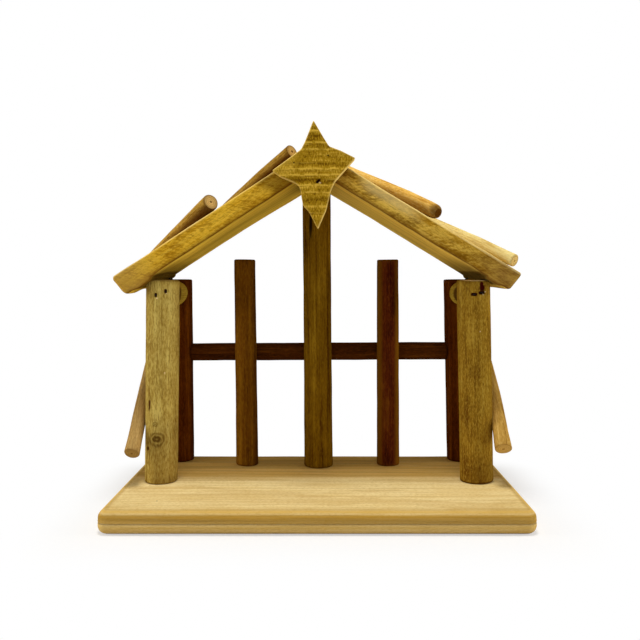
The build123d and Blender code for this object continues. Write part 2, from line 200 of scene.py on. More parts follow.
def weave(name, rings, layers):
    """Mesh from closed rings: quads between rings, and a fan to the middle of the first and the last."""
    rows, cols = rings.shape[:2]

    def with_poles(array):
        ends = np.stack([array[0].mean(axis=0), array[-1].mean(axis=0)])
        return np.concatenate([array.reshape(rows * cols, 3), ends])

    ring = np.arange(rows * cols).reshape(rows, cols)
    beside = np.roll(ring, -1, axis=1)
    first = np.full(cols, rows * cols)
    quads = np.stack([ring[:-1], beside[:-1], beside[1:], ring[1:]], axis=-1).reshape(-1, 4)
    fans = np.concatenate([
        np.stack([first, beside[0], ring[0]], axis=-1),
        np.stack([ring[-1], beside[-1], first + 1], axis=-1),
    ])
    mesh = bpy.data.meshes.new(name)
    mesh.from_pydata(with_poles(rings) * mm, [], quads.tolist() + fans.tolist())
    mesh.polygons.foreach_set("use_smooth", np.ones(len(mesh.polygons), bool))
    for layer, values in layers.items():
        mesh.attributes.new(layer, "FLOAT_VECTOR", "POINT")
        mesh.attributes[layer].data.foreach_set("vector", with_poles(values).ravel())
    piece = bpy.data.objects.new(name, mesh)
    bpy.context.scene.collection.objects.link(piece)
    return piece


def dress(name, rings, layers, material):
    """Finished piece: the mesh takes the place of the CAD node of that name and rides on the stable."""
    piece = weave(name + "_wood", rings, layers)
    piece.data.materials.append(material)
    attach(piece, root)
    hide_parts(name)
    print(piece.name, len(piece.data.polygons), "faces")


# %% [markdown]
# ## Slow waves, fine lines and dents
#
# Hand-worked wood is never quite straight, so most shapes get a slow random wave: a few sines with
# seeded phases. Grids are coarse where nothing happens and fine round a nail hole, so that a hole a
# millimetre wide is cut crisply without millions of faces. The nail holes themselves come from the
# frame: we look at each brad of the CAD model and find where its head is and which way it was driven.

# %% Waves and grid lines


def drift(place, seed, period, terms=4):
    """Slow random wave: a sum of sines, each shorter and weaker than the one before."""
    dice = np.random.default_rng(seed)
    shrink = 0.6 ** np.arange(terms)
    phase = dice.uniform(0, 2 * np.pi, terms)
    waves = np.sin(2 * np.pi * np.asarray(place)[..., None] / (period * shrink) + phase) * shrink
    return waves.sum(axis=-1) / shrink.sum()


def ease(value):
    """Smooth step of whole arrays from 0 to 1."""
    share = np.clip(value, 0, 1)
    return share * share * (3 - 2 * share)


def fine_lines(lines, centres, reach, gap):
    """Grid lines with extra ones close together round each centre."""
    extra = [np.arange(centre - reach, centre + reach, gap) for centre in centres]
    lines = np.sort(np.concatenate([lines, *extra]))
    lines = lines[(lines >= lines[0]) & (lines <= lines[-1])]
    return lines[np.concatenate([[True], np.diff(lines) > gap / 3])]


# %% Where the brads of the frame are


def brad_heads(node):
    """Head place and drive direction of each brad: the triangles that share points make one brad."""
    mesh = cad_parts[node].data
    points = np.empty(len(mesh.vertices) * 3)
    mesh.vertices.foreach_get("co", points)
    points = points.reshape(-1, 3) / mm
    mesh.calc_loop_triangles()
    corners = np.empty(len(mesh.loop_triangles) * 3, int)
    mesh.loop_triangles.foreach_get("vertices", corners)
    _, same = np.unique(np.round(points, 2), axis=0, return_inverse=True)
    corners = same.reshape(-1)[corners].reshape(-1, 3)
    label = np.arange(corners.max() + 1)
    for _ in range(12):
        lowest = label[corners].min(axis=1)
        np.minimum.at(label, corners, lowest[:, None])
    found = []
    for part in np.unique(label):
        cloud = points[label[same.reshape(-1)] == part]
        middle = (cloud.max(axis=0) + cloud.min(axis=0)) / 2
        axis = np.linalg.svd(cloud - cloud.mean(axis=0))[2][0]
        along = (cloud - middle) @ axis
        off = np.linalg.norm(cloud - middle - along[:, None] * axis, axis=1)
        top_wide = off[along > along.max() - 0.3].max()
        axis = axis if top_wide > off[along < along.min() + 0.3].max() else -axis
        found.append((middle + axis * np.ptp(along) / 2, -axis))
    return found


brad_nodes = [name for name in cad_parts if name.endswith("_brads")]
brads = [head for node in brad_nodes for head in brad_heads(node)]
print("brads found:", len(brads))

# %% Holes over the brads
inwards = np.array((0.0, 1, 0))
upwards = np.array((0.0, 0, 1))
hole_reach = 2.6
hole_gap = 0.32
nail_depth = 1.5


def near_brads(start, end, reach):
    """Brads whose heads lie within reach of the line from start to end, driven inwards to it."""
    run = (end - start) / np.linalg.norm(end - start)
    close = []
    for place, drive in brads:
        along = (place - start) @ run
        off = place - start - run * along
        inside = -3 < along < np.linalg.norm(end - start) + 3
        if inside and np.linalg.norm(off) < reach and off @ drive < 0 and abs(drive @ run) < 0.8:
            close.append((place, drive))
    return close


def punch(rings, hole, place, drive, long_way, wide, tall, depth, black=1.0):
    """Dent of a driven nail: points in a rounded slot move along the drive, and are marked as hole."""
    across = np.cross(drive, long_way)
    off = rings - place
    size = np.abs(off @ across / (wide / 2)) ** 3 + np.abs(off @ long_way / (tall / 2)) ** 3
    hold = ease((1.5 - size) / 0.9) * (np.abs(off @ drive) < 4)
    rings += drive * (depth * hold)[..., None]
    np.maximum(hole, hold * black, out=hole)


# %% [markdown]
# ## Logs
#
# Every post, beam, rail, stick and brace is a peeled log. On the real stable no two are alike: they
# taper, lean, bow a little, are not quite round, and have knots. Scaling a cylinder would keep it a
# cylinder, so we write a log as a function of two numbers, the place along it and the angle round it.
# The radius follows a table along the length, plus slow waves. A knot lifts the surface a little, and
# the grain lines swing round it.

# %% The grid of a log


def log_grid(size, radius, rim, step, nail_along, nail_turn):
    """Rows and columns of a log: reach from its axis, place along it, and turn round it.

    The reach grows from 0 to 1 over the first end, stays 1 along the log and falls to 0 over the
    other end, with a quarter circle of radius rim at each edge.
    """
    small = rim / radius
    arc = np.linspace(0, np.pi / 2, 7)[1:]
    cap = np.linspace(0.05, 1 - small, 12)
    flat = np.zeros(cap.size)
    rim_reach = 1 - small * (1 - np.sin(arc))
    rim_along = rim * (1 - np.cos(arc))
    body = fine_lines(np.arange(rim + step, size - rim, step), nail_along, hole_reach, hole_gap)
    body = body[(body > rim) & (body < size - rim)]
    reach = np.concatenate([cap, rim_reach, np.ones(body.size), rim_reach[::-1], cap[::-1]])
    along = np.concatenate([flat, rim_along, body, size - rim_along[::-1], flat + size])
    turns = np.linspace(-np.pi, np.pi, int(2 * np.pi * radius / step), endpoint=False)
    turn = fine_lines(turns, nail_turn, hole_reach / radius, hole_gap / radius)
    turn = turn[(turn >= -np.pi) & (turn < np.pi)]
    return reach[:, None], along[:, None], turn[None, :]


# %% The shape of a log


def log_rings(
    foot, head, radii, front, seed, rim=1.2, oval=0.25, bow=0.0, cut=0.3, step=1.1, knots=(),
    stain=0.0, fade=0.45, under=0.0, nail_hole=(1.7, 2.8),
):
    """Log from foot to head: point = axis + reach * radius * (sin(turn) * side + cos(turn) * face).

    radii are (share of length, radius) pairs, and front is the way that turn 0 faces. Each knot is
    (along, turn, width, height, lift). The dark at the foot reaches up so far, and fade is the share of it
    that is soft: on the front posts and the side beams that dark is painted shade. under is how dark the
    side away from front is painted, as painted shade, and nail_hole is the width and height of a hole.
    """
    foot = np.array(foot, float)
    head = np.array(head, float)
    size = np.linalg.norm(head - foot)
    run = (head - foot) / size
    side = np.cross(run, front)
    side /= np.linalg.norm(side)
    face = np.cross(side, run)
    shares, sizes = np.array(radii, float).T
    mean = sizes.mean()
    nails = near_brads(foot, head, sizes.max() + 1.0)
    nail_along = [(place - foot) @ run for place, _ in nails]
    nail_turn = [np.arctan2((place - foot) @ side, (place - foot) @ face) for place, _ in nails]
    reach, along, turn = log_grid(size, mean, rim, step, nail_along, nail_turn)

    radius = np.interp(along / size, shares, sizes)
    phase = np.random.default_rng(seed).uniform(0, 6, 3)
    radius = radius + oval * np.cos(2 * turn + phase[0] + along / 90)
    radius = radius + 0.35 * oval * np.cos(3 * turn + phase[1] + drift(along, seed + 1, 160))
    radius = radius + 0.5 * oval * drift(along + 14 * np.sin(turn + phase[2]), seed + 2, 70)
    grain_turn = np.broadcast_to(turn, radius.shape).copy()
    figure = np.zeros((*radius.shape, 3))
    figure[..., 0] = 3.0
    for knot_along, knot_turn, wide, tall, lift in knots:
        arc_way = (np.mod(turn - knot_turn + np.pi, 2 * np.pi) - np.pi) * mean
        far = np.sqrt((arc_way / wide) ** 2 + ((along - knot_along) / tall) ** 2)
        swell = np.exp(-((far / 1.1) ** 2))
        radius = radius + lift * np.exp(-((far / 0.8) ** 2)) - 0.7 * lift * np.exp(-((far / 0.25) ** 2))
        grain_turn = grain_turn - 0.75 * swell * arc_way / mean
        figure[..., 0] = np.minimum(figure[..., 0], far)
        figure[..., 1] = np.maximum(figure[..., 1], swell)

    out_p = reach * radius * np.sin(turn)
    out_q = reach * radius * np.cos(turn)
    tilt = np.random.default_rng(seed + 5).uniform(-1, 1, (2, 2)) * cut / mean
    sawn = 12
    at_foot = ease(1 - along / sawn)
    at_head = ease(1 - (size - along) / sawn)
    rise = along + at_foot * (tilt[0, 0] * out_p + tilt[0, 1] * out_q)
    rise = rise + at_head * (tilt[1, 0] * out_p + tilt[1, 1] * out_q)
    curve = bow * np.sin(np.pi * along / size) + 0.25 * oval * drift(along, seed + 3, 120)
    rings = foot + rise[..., None] * run + out_p[..., None] * side + (out_q + curve)[..., None] * face

    hole = np.zeros(radius.shape)
    for place, drive in nails:
        punch(rings, hole, place, drive, run, *nail_hole, nail_depth)
    edge = np.minimum(np.minimum(along, size - along) + (1 - reach) * mean * 0.8, 9)
    wear_and_painted_light = np.exp(-edge) * np.ones_like(hole)
    # The dark that reaches up from the foot: painted shade on the front posts and the side beams.
    if stain > 0:
        wear_and_painted_light = np.maximum(wear_and_painted_light, ease((stain - along + 0.12 * stain * np.sin(3 * turn)) / (fade * stain)))
    end_face = (reach < 1 - 0.6 * rim / mean) * np.ones_like(hole)
    # Painted shade on the side away from front.
    wear_and_painted_light = np.maximum(wear_and_painted_light, under * ease(0.6 - np.cos(turn)) * (1 - end_face))
    shift = seed * 0.173
    grain_x = reach * radius * np.sin(grain_turn) * mm
    grain_y = reach * radius * np.cos(grain_turn) * mm
    grain = np.stack([grain_x, grain_y, along * mm + shift + np.zeros_like(hole)], axis=-1)
    layers = {"grain": grain, "marks": np.stack([wear_and_painted_light, hole, end_face], axis=-1), "figure": figure}
    return rings, layers


# %% [markdown]
# ## The finish of a peeled log
#
# Under the bark a log shows long pale and dark streaks, cloudy patches, short dark pores, and rings
# round its knots. Image textures would repeat and would need unwrapping, so every mark comes from
# noise in the wood's own coordinates: stretched along the log for streaks, nearly round for patches.
# The end faces show growth rings and a few radial cracks.

# %% Log finish


def log_finish(name, tones, patchy=0.35, pores=0.5, wear_and_painted_light=0.35, grit=0.3, fleck=300, pit=(66, 12, 6)):
    """Streaks and patches choose between dark, body and pale; flecks, knots, rims and ends come on top.

    tones are pale, body and dark of the side, then pale and dark of the ends. pit is a hole's tone.
    """
    pale, body, dark, end_pale, end_dark = (shade(*tone) for tone in tones)
    fin = Finish(name)
    grain = fin.read("grain")
    rim, hole, cap = fin.split(fin.read("marks"))
    far, knot, splinter = fin.split(fin.read("figure"))
    x, y, _ = fin.split(grain)

    streak = fin.noise(grain, (190, 190, 6), 5.0, 0.6)
    fine = fin.noise(grain, (900, 900, 24), 3.0)
    speck = fin.noise(grain, (1250, 1250, fleck), 2.0, 0.6)
    patch = fin.noise(grain, (75, 75, 30), 4.0, 0.6)
    tone = streak * (0.62 - patchy * 0.5) + patch * (patchy * 0.5 + 0.1) + fine * 0.28
    ring = fin.sine(far * 10.0 + patch * 26.0 + fine * 7.0)
    tone = tone - knot * (ring * 0.16 + 0.01)
    colour = fin.mix(fin.step(tone, 0.38, 0.50), dark, body)
    colour = fin.mix(fin.step(tone, 0.50, 0.63), colour, pale)
    colour = fin.mix(fin.step(speck, 0.50, 0.36) * grit, colour, dark)
    colour = fin.mix(fin.step(speck, 0.52, 0.66) * grit, colour, pale)
    dash = fin.step(fin.noise(grain, (1500, 1500, 130), 2.0), 0.60, 0.70)
    colour = fin.mix(dash * pores, colour, dark)
    glint = fin.step(fin.noise(grain, (1100, 1100, 160), 2.0), 0.66, 0.74)
    colour = fin.mix(glint * 0.35, colour, pale)
    core = fin.step(far + patch * 1.8, 2.5, 1.2) * (ring * 0.75 + 0.2)
    colour = fin.mix(core, colour, dim(dark, 0.45))

    rings = fin.sine(fin.length(x, y) * 4200.0 + patch * 9.0)
    spokes = fin.step(fin.noise(fin.join(x, y, 0.0), (900, 900, 900), 3.0), 0.40, 0.62)
    pith = 1 - fin.step(fin.length(x, y), 0.0005, 0.0013)
    face = fin.mix(rings * 0.25 + spokes * 0.2, end_pale, end_dark)
    face = fin.mix(pith * 0.8, face, end_dark)
    colour = fin.mix(cap, colour, face)
    # The rim mark holds dark worn ends and painted light: shade at the feet of the front posts, on the side
    # beams and under the sticks, and rim light on the sides of a short upright.
    colour = fin.mix(rim * wear_and_painted_light, colour, end_dark)
    colour = fin.mix(hole, colour, shade(*pit))
    # Pale splinters round nails, and a painted highlight along the right front post's top edge.
    colour = fin.mix(splinter, colour, shade(238, 212, 158))

    rough = 0.55 + (patch - 0.5) * 0.35 + dash * 0.12
    height = fine * 0.4 + streak * 0.5 + speck * 0.45 - dash * 0.35 + ring * knot * 0.5
    return fin.close(colour, rough, height, 0.7, 0.0007)


# %% [markdown]
# ## The seven uprights
#
# Four corner posts carry the roof, and three more uprights stand against the rail at the back. The frame
# says where each one stands and how thick it is. From the picture we add how far each leans, the scars
# and splinters round the nails of the front posts, and the knots of the left one.

# %% Finishes of the uprights
left_post_wood = log_finish(
    "left_post_wood", ((211, 187, 100), (183, 154, 73), (130, 98, 35), (220, 194, 113), (88, 56, 18)),
    patchy=0.7, pores=0.6, wear_and_painted_light=0.7, grit=0.55,
)
right_post_wood = log_finish(
    "right_post_wood", ((182, 148, 56), (149, 113, 32), (101, 66, 13), (196, 156, 65), (74, 44, 8)),
    patchy=0.55, pores=0.6, wear_and_painted_light=0.85, grit=0.55, fleck=400,
)
rear_post_wood = log_finish(
    "rear_post_wood", ((123, 67, 12), (87, 39, 4), (54, 18, 2), (130, 78, 20), (54, 22, 2)),
    patchy=0.3, wear_and_painted_light=0.6,
)
olive_post_wood = log_finish(
    "olive_post_wood", ((138, 94, 20), (108, 66, 11), (72, 38, 6), (147, 87, 19), (58, 24, 2)),
    patchy=0.3, wear_and_painted_light=0.5,
)
# Its dark end tone is an olive lighter than its body: on the sides it is painted rim light.
wine_post_wood = log_finish(
    "wine_post_wood", ((120, 68, 18), (88, 36, 11), (56, 16, 8), (147, 87, 19), (124, 82, 12)),
    patchy=0.6, wear_and_painted_light=0.7,
)
print("the corner posts and short uprights have 5 finishes")

# %% Posts


seat_gap = 0.05


def node_box(name):
    """Lowest corner, highest corner and middle of a node, in mm."""
    low, high = (np.array(corner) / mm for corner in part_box(name))
    return low, high, (low + high) / 2


def upright(
    name, lean, slot, material, seed, scars=(), splinters_and_highlights=(), wider=0.0, painted_rim_light=0.0, low_dark=(), oval=0.25,
    **shape,
):
    """Standing log in the place of a node: lean is how far foot and head move along X, in mm.

    Each scar is (X, Z, width, height, depth, blackness), and each splinter and each painted highlight
    (X, Z, width, height). The sides can take the tone of the rim, so far: painted rim light. The same tone
    can come in low down on the right, darker towards the bottom: each such entry is (strength, height,
    softness).
    """
    low, high, middle = node_box(name)
    radius = (high[0] - low[0]) / 2 - oval * 0.6 + wider
    foot = (middle[0] + lean[0], middle[1], low[2] + seat_gap)
    head = (middle[0] + lean[1], middle[1], high[2])
    radii = ((0, radius), (0.3, radius * 0.99), (0.7, radius), (1, radius * 0.99))
    rings, layers = log_rings(foot, head, radii, -inwards, seed, oval=oval, **shape)
    rim, hole, _ = np.moveaxis(layers["marks"], -1, 0)
    chips_and_highlight = layers["figure"][..., 2]
    for x, z, *size in scars:
        punch(rings, hole, np.array((x, middle[1] - radius, z)), inwards, upwards, *size)
    for x, z, wide, tall in splinters_and_highlights:
        off = np.hypot((rings[..., 0] - x) / wide, (rings[..., 2] - z) / tall)
        np.maximum(chips_and_highlight, ease(2 - 2 * off) * (rings[..., 1] < middle[1]), out=chips_and_highlight)
    # Painted rim light: the sides take the rim's tone.
    beside = ease((np.abs(rings[..., 0] - middle[0]) / radius - 0.45) / 0.35)
    np.maximum(rim, painted_rim_light * beside, out=rim)
    # Darker towards the bottom on the right side.
    to_right = ease((rings[..., 0] - middle[0] + 9) / 8)
    for strength, tall, soft in low_dark:
        low_down = ease((tall - rings[..., 2] + low[2]) / soft)
        np.maximum(rim, strength * to_right * low_down, out=rim)
    dress(name, rings, layers, material)


# %% Corner posts and the two short uprights
left_knots = ((34.6, -0.06, 6.0, 5.4, 0.6), (46.2, -0.21, 2.1, 2.3, 0.3))
left_low_dark = ((0.45, 60.0, 25.0), (0.8, 14.0, 13.0))
left_scars = (
    (-128.6, 77.0, 1.7, 6.4, 0.6, 0.9), (-128.9, 73.5, 1.2, 3.2, 0.4, 0.8),
    (-130.2, 43.0, 1.6, 2.6, 0.6, 0.9),
)
left_splinters = ((-122.8, 158.2, 0.9, 0.7), (-115.7, 161.6, 0.8, 0.5), (-117.0, 101.0, 0.5, 0.7))
right_scars = (
    (124.9, 168.4, 2.8, 4.6, 0.6, 1.0), (125.4, 166.2, 3.6, 4.4, 0.8, 1.0),
    (125.0, 163.6, 2.8, 4.4, 0.6, 0.9),
    (126.6, 163.0, 1.4, 2.2, 0.4, 0.6), (123.4, 165.8, 1.2, 2.4, 0.3, 0.6),
)
# The first is a painted highlight along the post's top edge, the others are pale splinters.
right_splinters_and_highlight = (
    (120.5, 171.8, 12.0, 0.65), (126.0, 161.0, 0.8, 0.6), (127.6, 163.0, 0.4, 0.6), (123.6, 133.0, 0.5, 0.5),
)
# The dark that reaches up from each front post's foot is a painted contact shadow.
upright(
    "front_post_left", (-0.4, 0.8), "light_log", left_post_wood, 11, left_scars, left_splinters,
    low_dark=left_low_dark, knots=left_knots, nail_hole=(2.0, 3.2), step=0.7, stain=1.6,
)
upright(
    "front_post_right", (2.0, -0.6), "light_log", right_post_wood, 18, right_scars, right_splinters_and_highlight,
    low_dark=((0.5, 30.0, 22.0),), nail_hole=(4.6, 2.5), step=0.7, stain=1.8,
)
upright("rear_post_left", (2.8, 1.1), "dark_log", rear_post_wood, 13, step=0.9)
upright("rear_post_right", (0.4, -2.9), "dark_log", rear_post_wood, 14, step=0.9)
upright("short_post_left", (1.2, -1.0), "dark_log", olive_post_wood, 15, wider=0.7, step=0.9)
# The sides of the right short upright get painted rim light.
upright("short_post_right", (0.2, -0.2), "dark_log", wine_post_wood, 16, wider=0.7, painted_rim_light=1.0, step=0.9)

# %% [markdown]
# ## Centre post
#
# The post in the middle carries the ridge, so its top is sawn to a gable. A boolean cut would do it, but
# it would leave a ragged mesh. Instead the upper part of a plain log is squeezed: each column of points
# ends where the roof is above it.

# %% Centre post under the ridge
ridge = np.array((-3.808, 0.0, 273.658))
slopes = {"left": np.radians(33.2), "right": np.radians(31.8)}
ways = {"left": -1, "right": 1}
roof_thick = 14.0
roof_gap = 0.15
rear_drop = {"left": 2.4, "right": 1.0}


def gable(x):
    """Height of the roof's underside over a place along X."""
    fall = np.where(x < ridge[0], np.tan(slopes["left"]), np.tan(slopes["right"]))
    drops = {side: (roof_thick + rear_drop[side]) / np.cos(slopes[side]) for side in ways}
    drop = np.where(x < ridge[0], drops["left"], drops["right"])
    return ridge[2] - drop - np.abs(x - ridge[0]) * fall - roof_gap


def centre_post(material, seed):
    """Log whose points above bend_z are squeezed: z = bend_z + share * (gable over x - bend_z)."""
    low, high, middle = node_box("centre_post")
    radius = (high[0] - low[0]) / 2 - 0.2
    radii = ((0, radius), (0.4, radius * 0.985), (1, radius * 0.99))
    foot = (middle[0] + 1.4, middle[1], low[2] + seat_gap)
    head = (middle[0] - 0.4, middle[1], high[2])
    rings, layers = log_rings(foot, head, radii, -inwards, seed, cut=0.0, step=0.9)
    bend_z = 225.0
    share = np.clip((rings[..., 2] - bend_z) / (rings[..., 2].max() - bend_z), 0, None)
    rings[..., 2] = np.where(share > 0, bend_z + share * (gable(rings[..., 0]) - bend_z), rings[..., 2])
    crack = np.array((-6.5, middle[1] - radius, 219.0))
    punch(rings, layers["marks"][..., 1], crack, inwards, upwards, 1.8, 25.0, 1.3)
    dress("centre_post", rings, layers, material)


# The crack's near-black pit tone is painted shade inside it.
centre_post_wood = log_finish(
    "centre_post_wood", ((154, 117, 26), (121, 86, 12), (78, 45, 6), (145, 108, 22), (57, 31, 3)),
    wear_and_painted_light=0.5, pit=(26, 14, 5),
)
centre_post(centre_post_wood, 17)

# %% [markdown]
# ## Beams and rail
#
# A short log joins each front post to the post behind it, a thicker one lies under the ridge, and a thin
# rail runs across the back. They are lying logs: the same surface with another axis.

# %% Lying logs


def lying(name, foot, head, radius, front, slot, material, seed, **shape):
    """Lying log in the place of a node."""
    radii = ((0, radius), (0.5, radius * 0.985), (1, radius))
    rings, layers = log_rings(foot, head, radii, front, seed, **shape)
    dress(name, rings, layers, material)


beam_wood = log_finish(
    "beam_wood", ((204, 176, 70), (182, 150, 52), (132, 100, 28), (200, 170, 66), (66, 34, 8)),
    patchy=0.5, wear_and_painted_light=0.9,
)
# The ridge log is painted darker than the other light logs: painted shade under the roof.
ridge_wood = log_finish(
    "ridge_wood", ((150, 120, 52), (120, 90, 28), (80, 54, 12), (150, 120, 56), (80, 55, 18)),
    patchy=0.5, wear_and_painted_light=0.3,
)
rail_wood = log_finish(
    "rail_wood", ((108, 60, 14), (78, 38, 7), (49, 21, 3), (121, 72, 24), (51, 22, 5)),
    patchy=0.3, wear_and_painted_light=0.5,
)
# On each side beam the dark that reaches back from its front end is the front post's painted shadow.
for side, x, seed, stain in (("left", -121.5, 21, 20.0), ("right", 121.5, 22, 24.0)):
    foot = (x, 11.4, 160.3)
    head = (x, 51.6, 160.3)
    lying(f"side_beam_{side}", foot, head, 10.1, upwards, "light_log", beam_wood, seed, stain=stain)
lying("ridge_beam", (-3.63, -18.4, 241.99), (-3.63, 31.5, 241.99), 10.2, upwards, "light_log", ridge_wood, 23)
lying("back_rail", (-110.6, 63.5, 109.2), (110.6, 63.5, 110.3), 7.4, -inwards, "dark_log", rail_wood, 24)

# %% [markdown]
# ## Rounded outlines
#
# The roof boards and the base are not round, but the same idea holds: instead of a circle, the ring is
# a rectangle with rounded corners. Its half sizes and its corner radius may change from row to row,
# which lets the edges of a board waver and the edge of the base follow a moulded profile.

# %% A rectangle with rounded corners


def rounded_outline(half_p, half_q, corner, p_share, q_share, bends=6):
    """Rings of a rounded rectangle: top side, corner, right side, corner, and so on round.

    half_p, half_q and corner are columns with one value per row. p_share and q_share are the
    places of the points on the sides that run along p and along q, from -1 to 1.
    """
    turn = np.linspace(0, np.pi / 2, bends + 2)[1:-1]
    flat_p = half_p - corner
    flat_q = half_q - corner
    one = np.ones_like(turn)
    parts = (
        (flat_p * p_share, half_q + 0 * p_share),
        (flat_p * one + corner * np.sin(turn), flat_q * one + corner * np.cos(turn)),
        (half_p + 0 * q_share, flat_q * q_share[:, ::-1]),
        (flat_p * one + corner * np.cos(turn), -flat_q * one - corner * np.sin(turn)),
        (flat_p * p_share[:, ::-1], -half_q + 0 * p_share),
        (-flat_p * one - corner * np.sin(turn), -flat_q * one - corner * np.cos(turn)),
        (-half_p + 0 * q_share, flat_q * q_share),
        (-flat_p * one - corner * np.cos(turn), flat_q * one + corner * np.sin(turn)),
    )
    rows = np.broadcast_shapes(half_p.shape, half_q.shape, corner.shape)[0]
    p = np.concatenate([np.broadcast_to(part[0], (rows, part[0].shape[1])) for part in parts], axis=1)
    q = np.concatenate([np.broadcast_to(part[1], (rows, part[1].shape[1])) for part in parts], axis=1)
    return p, q


# %% [markdown]
# ## Roof boards
#
# Each board is swept from the ridge to the eave. At the ridge it is cut upright, so that the two boards
# meet, and at the eave it leans in under itself and its corners are rounded. The front edge was eased
# by hand, so its radius drifts along the board, and a dark split runs along its lower side. Its top arris
# has a painted highlight, and so has a strip below the split. Painted shade darkens the underside
# towards the front post, where a dark bump fills the shaded wedge, and the front beside the star. The
# two boards differ, so a table keeps what is special to each.

# %% Sizes of the roof boards
roof_front = -18.5
roof_back = 77.5
board_half = (roof_back - roof_front) / 2
half_thick = roof_thick / 2
eave_lean = np.tan(np.radians(8.0))
edge_round = 1.6
shade_dab_thick = 1.5

# swell, droop and round shape the eave. post is how far down the front post is, and glue how far
# past it the shade dab starts: a dark bump that fills the shaded wedge above the post. star_edge is a point
# of the star's edge, the way out from it, and how far its painted shadow goes, and star_shadow how dark
# that is. dusk is painted shade on the underside, and light a painted highlight high on the front edge.
boards = {
    "left": {
        "length": 182.6, "swell": (0.1, 1.5), "droop": 2.0, "round": 3.6, "post": 157.0, "glue": 1.5,
        "front_drop": 1.8, "star_edge": (-34.1, 253.4, -0.483, -0.875, 18.0), "star_shadow": 0.62,
        "dusk": 0.25, "light": 0.0,
    },
    "right": {
        "length": 185.8, "swell": (1.2, 0.7), "droop": 0.0, "round": 2.4, "post": 161.0, "glue": 4.0,
        "front_drop": 1.3, "star_edge": (28.1, 262.8, 0.751, -0.661, 12.0), "star_shadow": 0.4,
        "dusk": 0.0, "light": 0.42,
    },
}
print("roof boards:", [board["length"] for board in boards.values()], "mm long")

# %% Directions, grid and eave of a roof board


def roof_axes(side):
    """Directions down a board and out of its top."""
    way = ways[side]
    down = np.array((way * np.cos(slopes[side]), 0, -np.sin(slopes[side])))
    out = np.array((way * np.sin(slopes[side]), 0, np.cos(slopes[side])))
    return down, out


def board_grid(length, nail_p, nail_u, seed):
    """Rows and columns of a board: shrink of each ring, share of the length, and outline p across, q up."""
    grow = 1 - np.linspace(0.97, 0.0, 26) ** 1.8
    run = fine_lines(np.linspace(0, 1, 170), nail_u, 2.4 / length, 0.4 / length)
    run = run[(run >= 0) & (run <= 1)]
    shrink = np.concatenate([grow, np.ones(run.size), grow[::-1]])[:, None]
    share = np.concatenate([np.zeros(grow.size), run, np.ones(grow.size)])[:, None]
    here = share * length
    corner = 1.5 + 0.5 * drift(here, seed, 60)
    wide = board_half - 0.25 + 0.25 * drift(here, seed + 1, 110)
    tall = half_thick - 0.05 + 0 * here
    long_share = fine_lines(np.linspace(-1, 1, 64), np.array(nail_p) / (board_half - 1.5), 0.05, 0.011)
    long_share = long_share[(long_share >= -1) & (long_share <= 1)]
    short_share = np.linspace(-1, 1, 28)
    p, q = rounded_outline(wide, tall, corner, long_share[None, :], short_share[None, :])
    return shrink, share, p, q


def eave_end(p, q, length, eave_round):
    """Where a board ends: a plane that leans inwards below, with its edges rounded off."""
    depth = half_thick - q
    top = np.clip(eave_round - depth, 0, None)
    under = np.clip(eave_round - (roof_thick - depth), 0, None)
    edge = np.clip(edge_round - (board_half - np.abs(p)), 0, None)
    round_off = eave_round - np.sqrt(eave_round**2 - np.maximum(top, under) ** 2)
    side_off = edge_round - np.sqrt(np.clip(edge_round**2 - edge**2, 0, None))
    return length - depth * eave_lean - round_off - side_off


# %% Marks on the front edge and the underside


def edge_marks(side, here, q, from_front, seed):
    """Painted arris highlight, dark split line, painted highlight strip below it, painted shade, and the dab.

    Each is a bump of the distance to its line: the split fades upwards from its line near the lower
    edge, and the painted shade grows down the underside towards the front post. The dab is where a dark
    bump of the underside fills the shaded wedge above the post.
    """
    board = boards[side]
    on_front = ease(edge_round - from_front)
    # Painted highlight on the top arris, and on the right board a painted patch of light high on the front.
    painted_arris_light = np.exp(-((from_front + half_thick - q) ** 2)) * ease(0.9 + 0.5 * drift(here, seed + 6, 40))
    light = board["light"] * ease((q + 3) / 6) * on_front
    painted_arris_light = np.maximum(painted_arris_light, light * ease((here - 38) / 15) * ease((105 - here) / 25))
    split = q + half_thick - 0.7 - 0.5 * drift(here, seed + 4, 120)
    crack = np.where(split > 0, np.exp(-split / 1.1), np.exp(-((split / 0.35) ** 2)))
    crack = crack * on_front * ease(1.05 + 0.4 * drift(here, seed + 5, 75))
    # Below the split the strip is a painted highlight on the rounded lower edge; the underside has its own
    # tone.
    underside = ease((-q - half_thick + 0.6) / 0.5)
    below = ease(1 - split / 0.4) * on_front * ease((board["length"] - 14 - here) / 8) + underside
    # Painted shade on the underside near the front post and in its middle.
    past = here - board["post"]
    glue_end = ease((22 - past) / 8)
    glue = np.maximum(0.92 * ease((past + 8) / 8), 0.5 * ease((past + 32) / 26)) * glue_end
    glue = np.maximum(glue, board["dusk"] * np.exp(-(((from_front - 46) / 17) ** 2))) * underside
    shade_dab = ease((past - board["glue"]) / 3) * glue_end
    return painted_arris_light, crack, below, glue, shade_dab


# %% The shape of a roof board


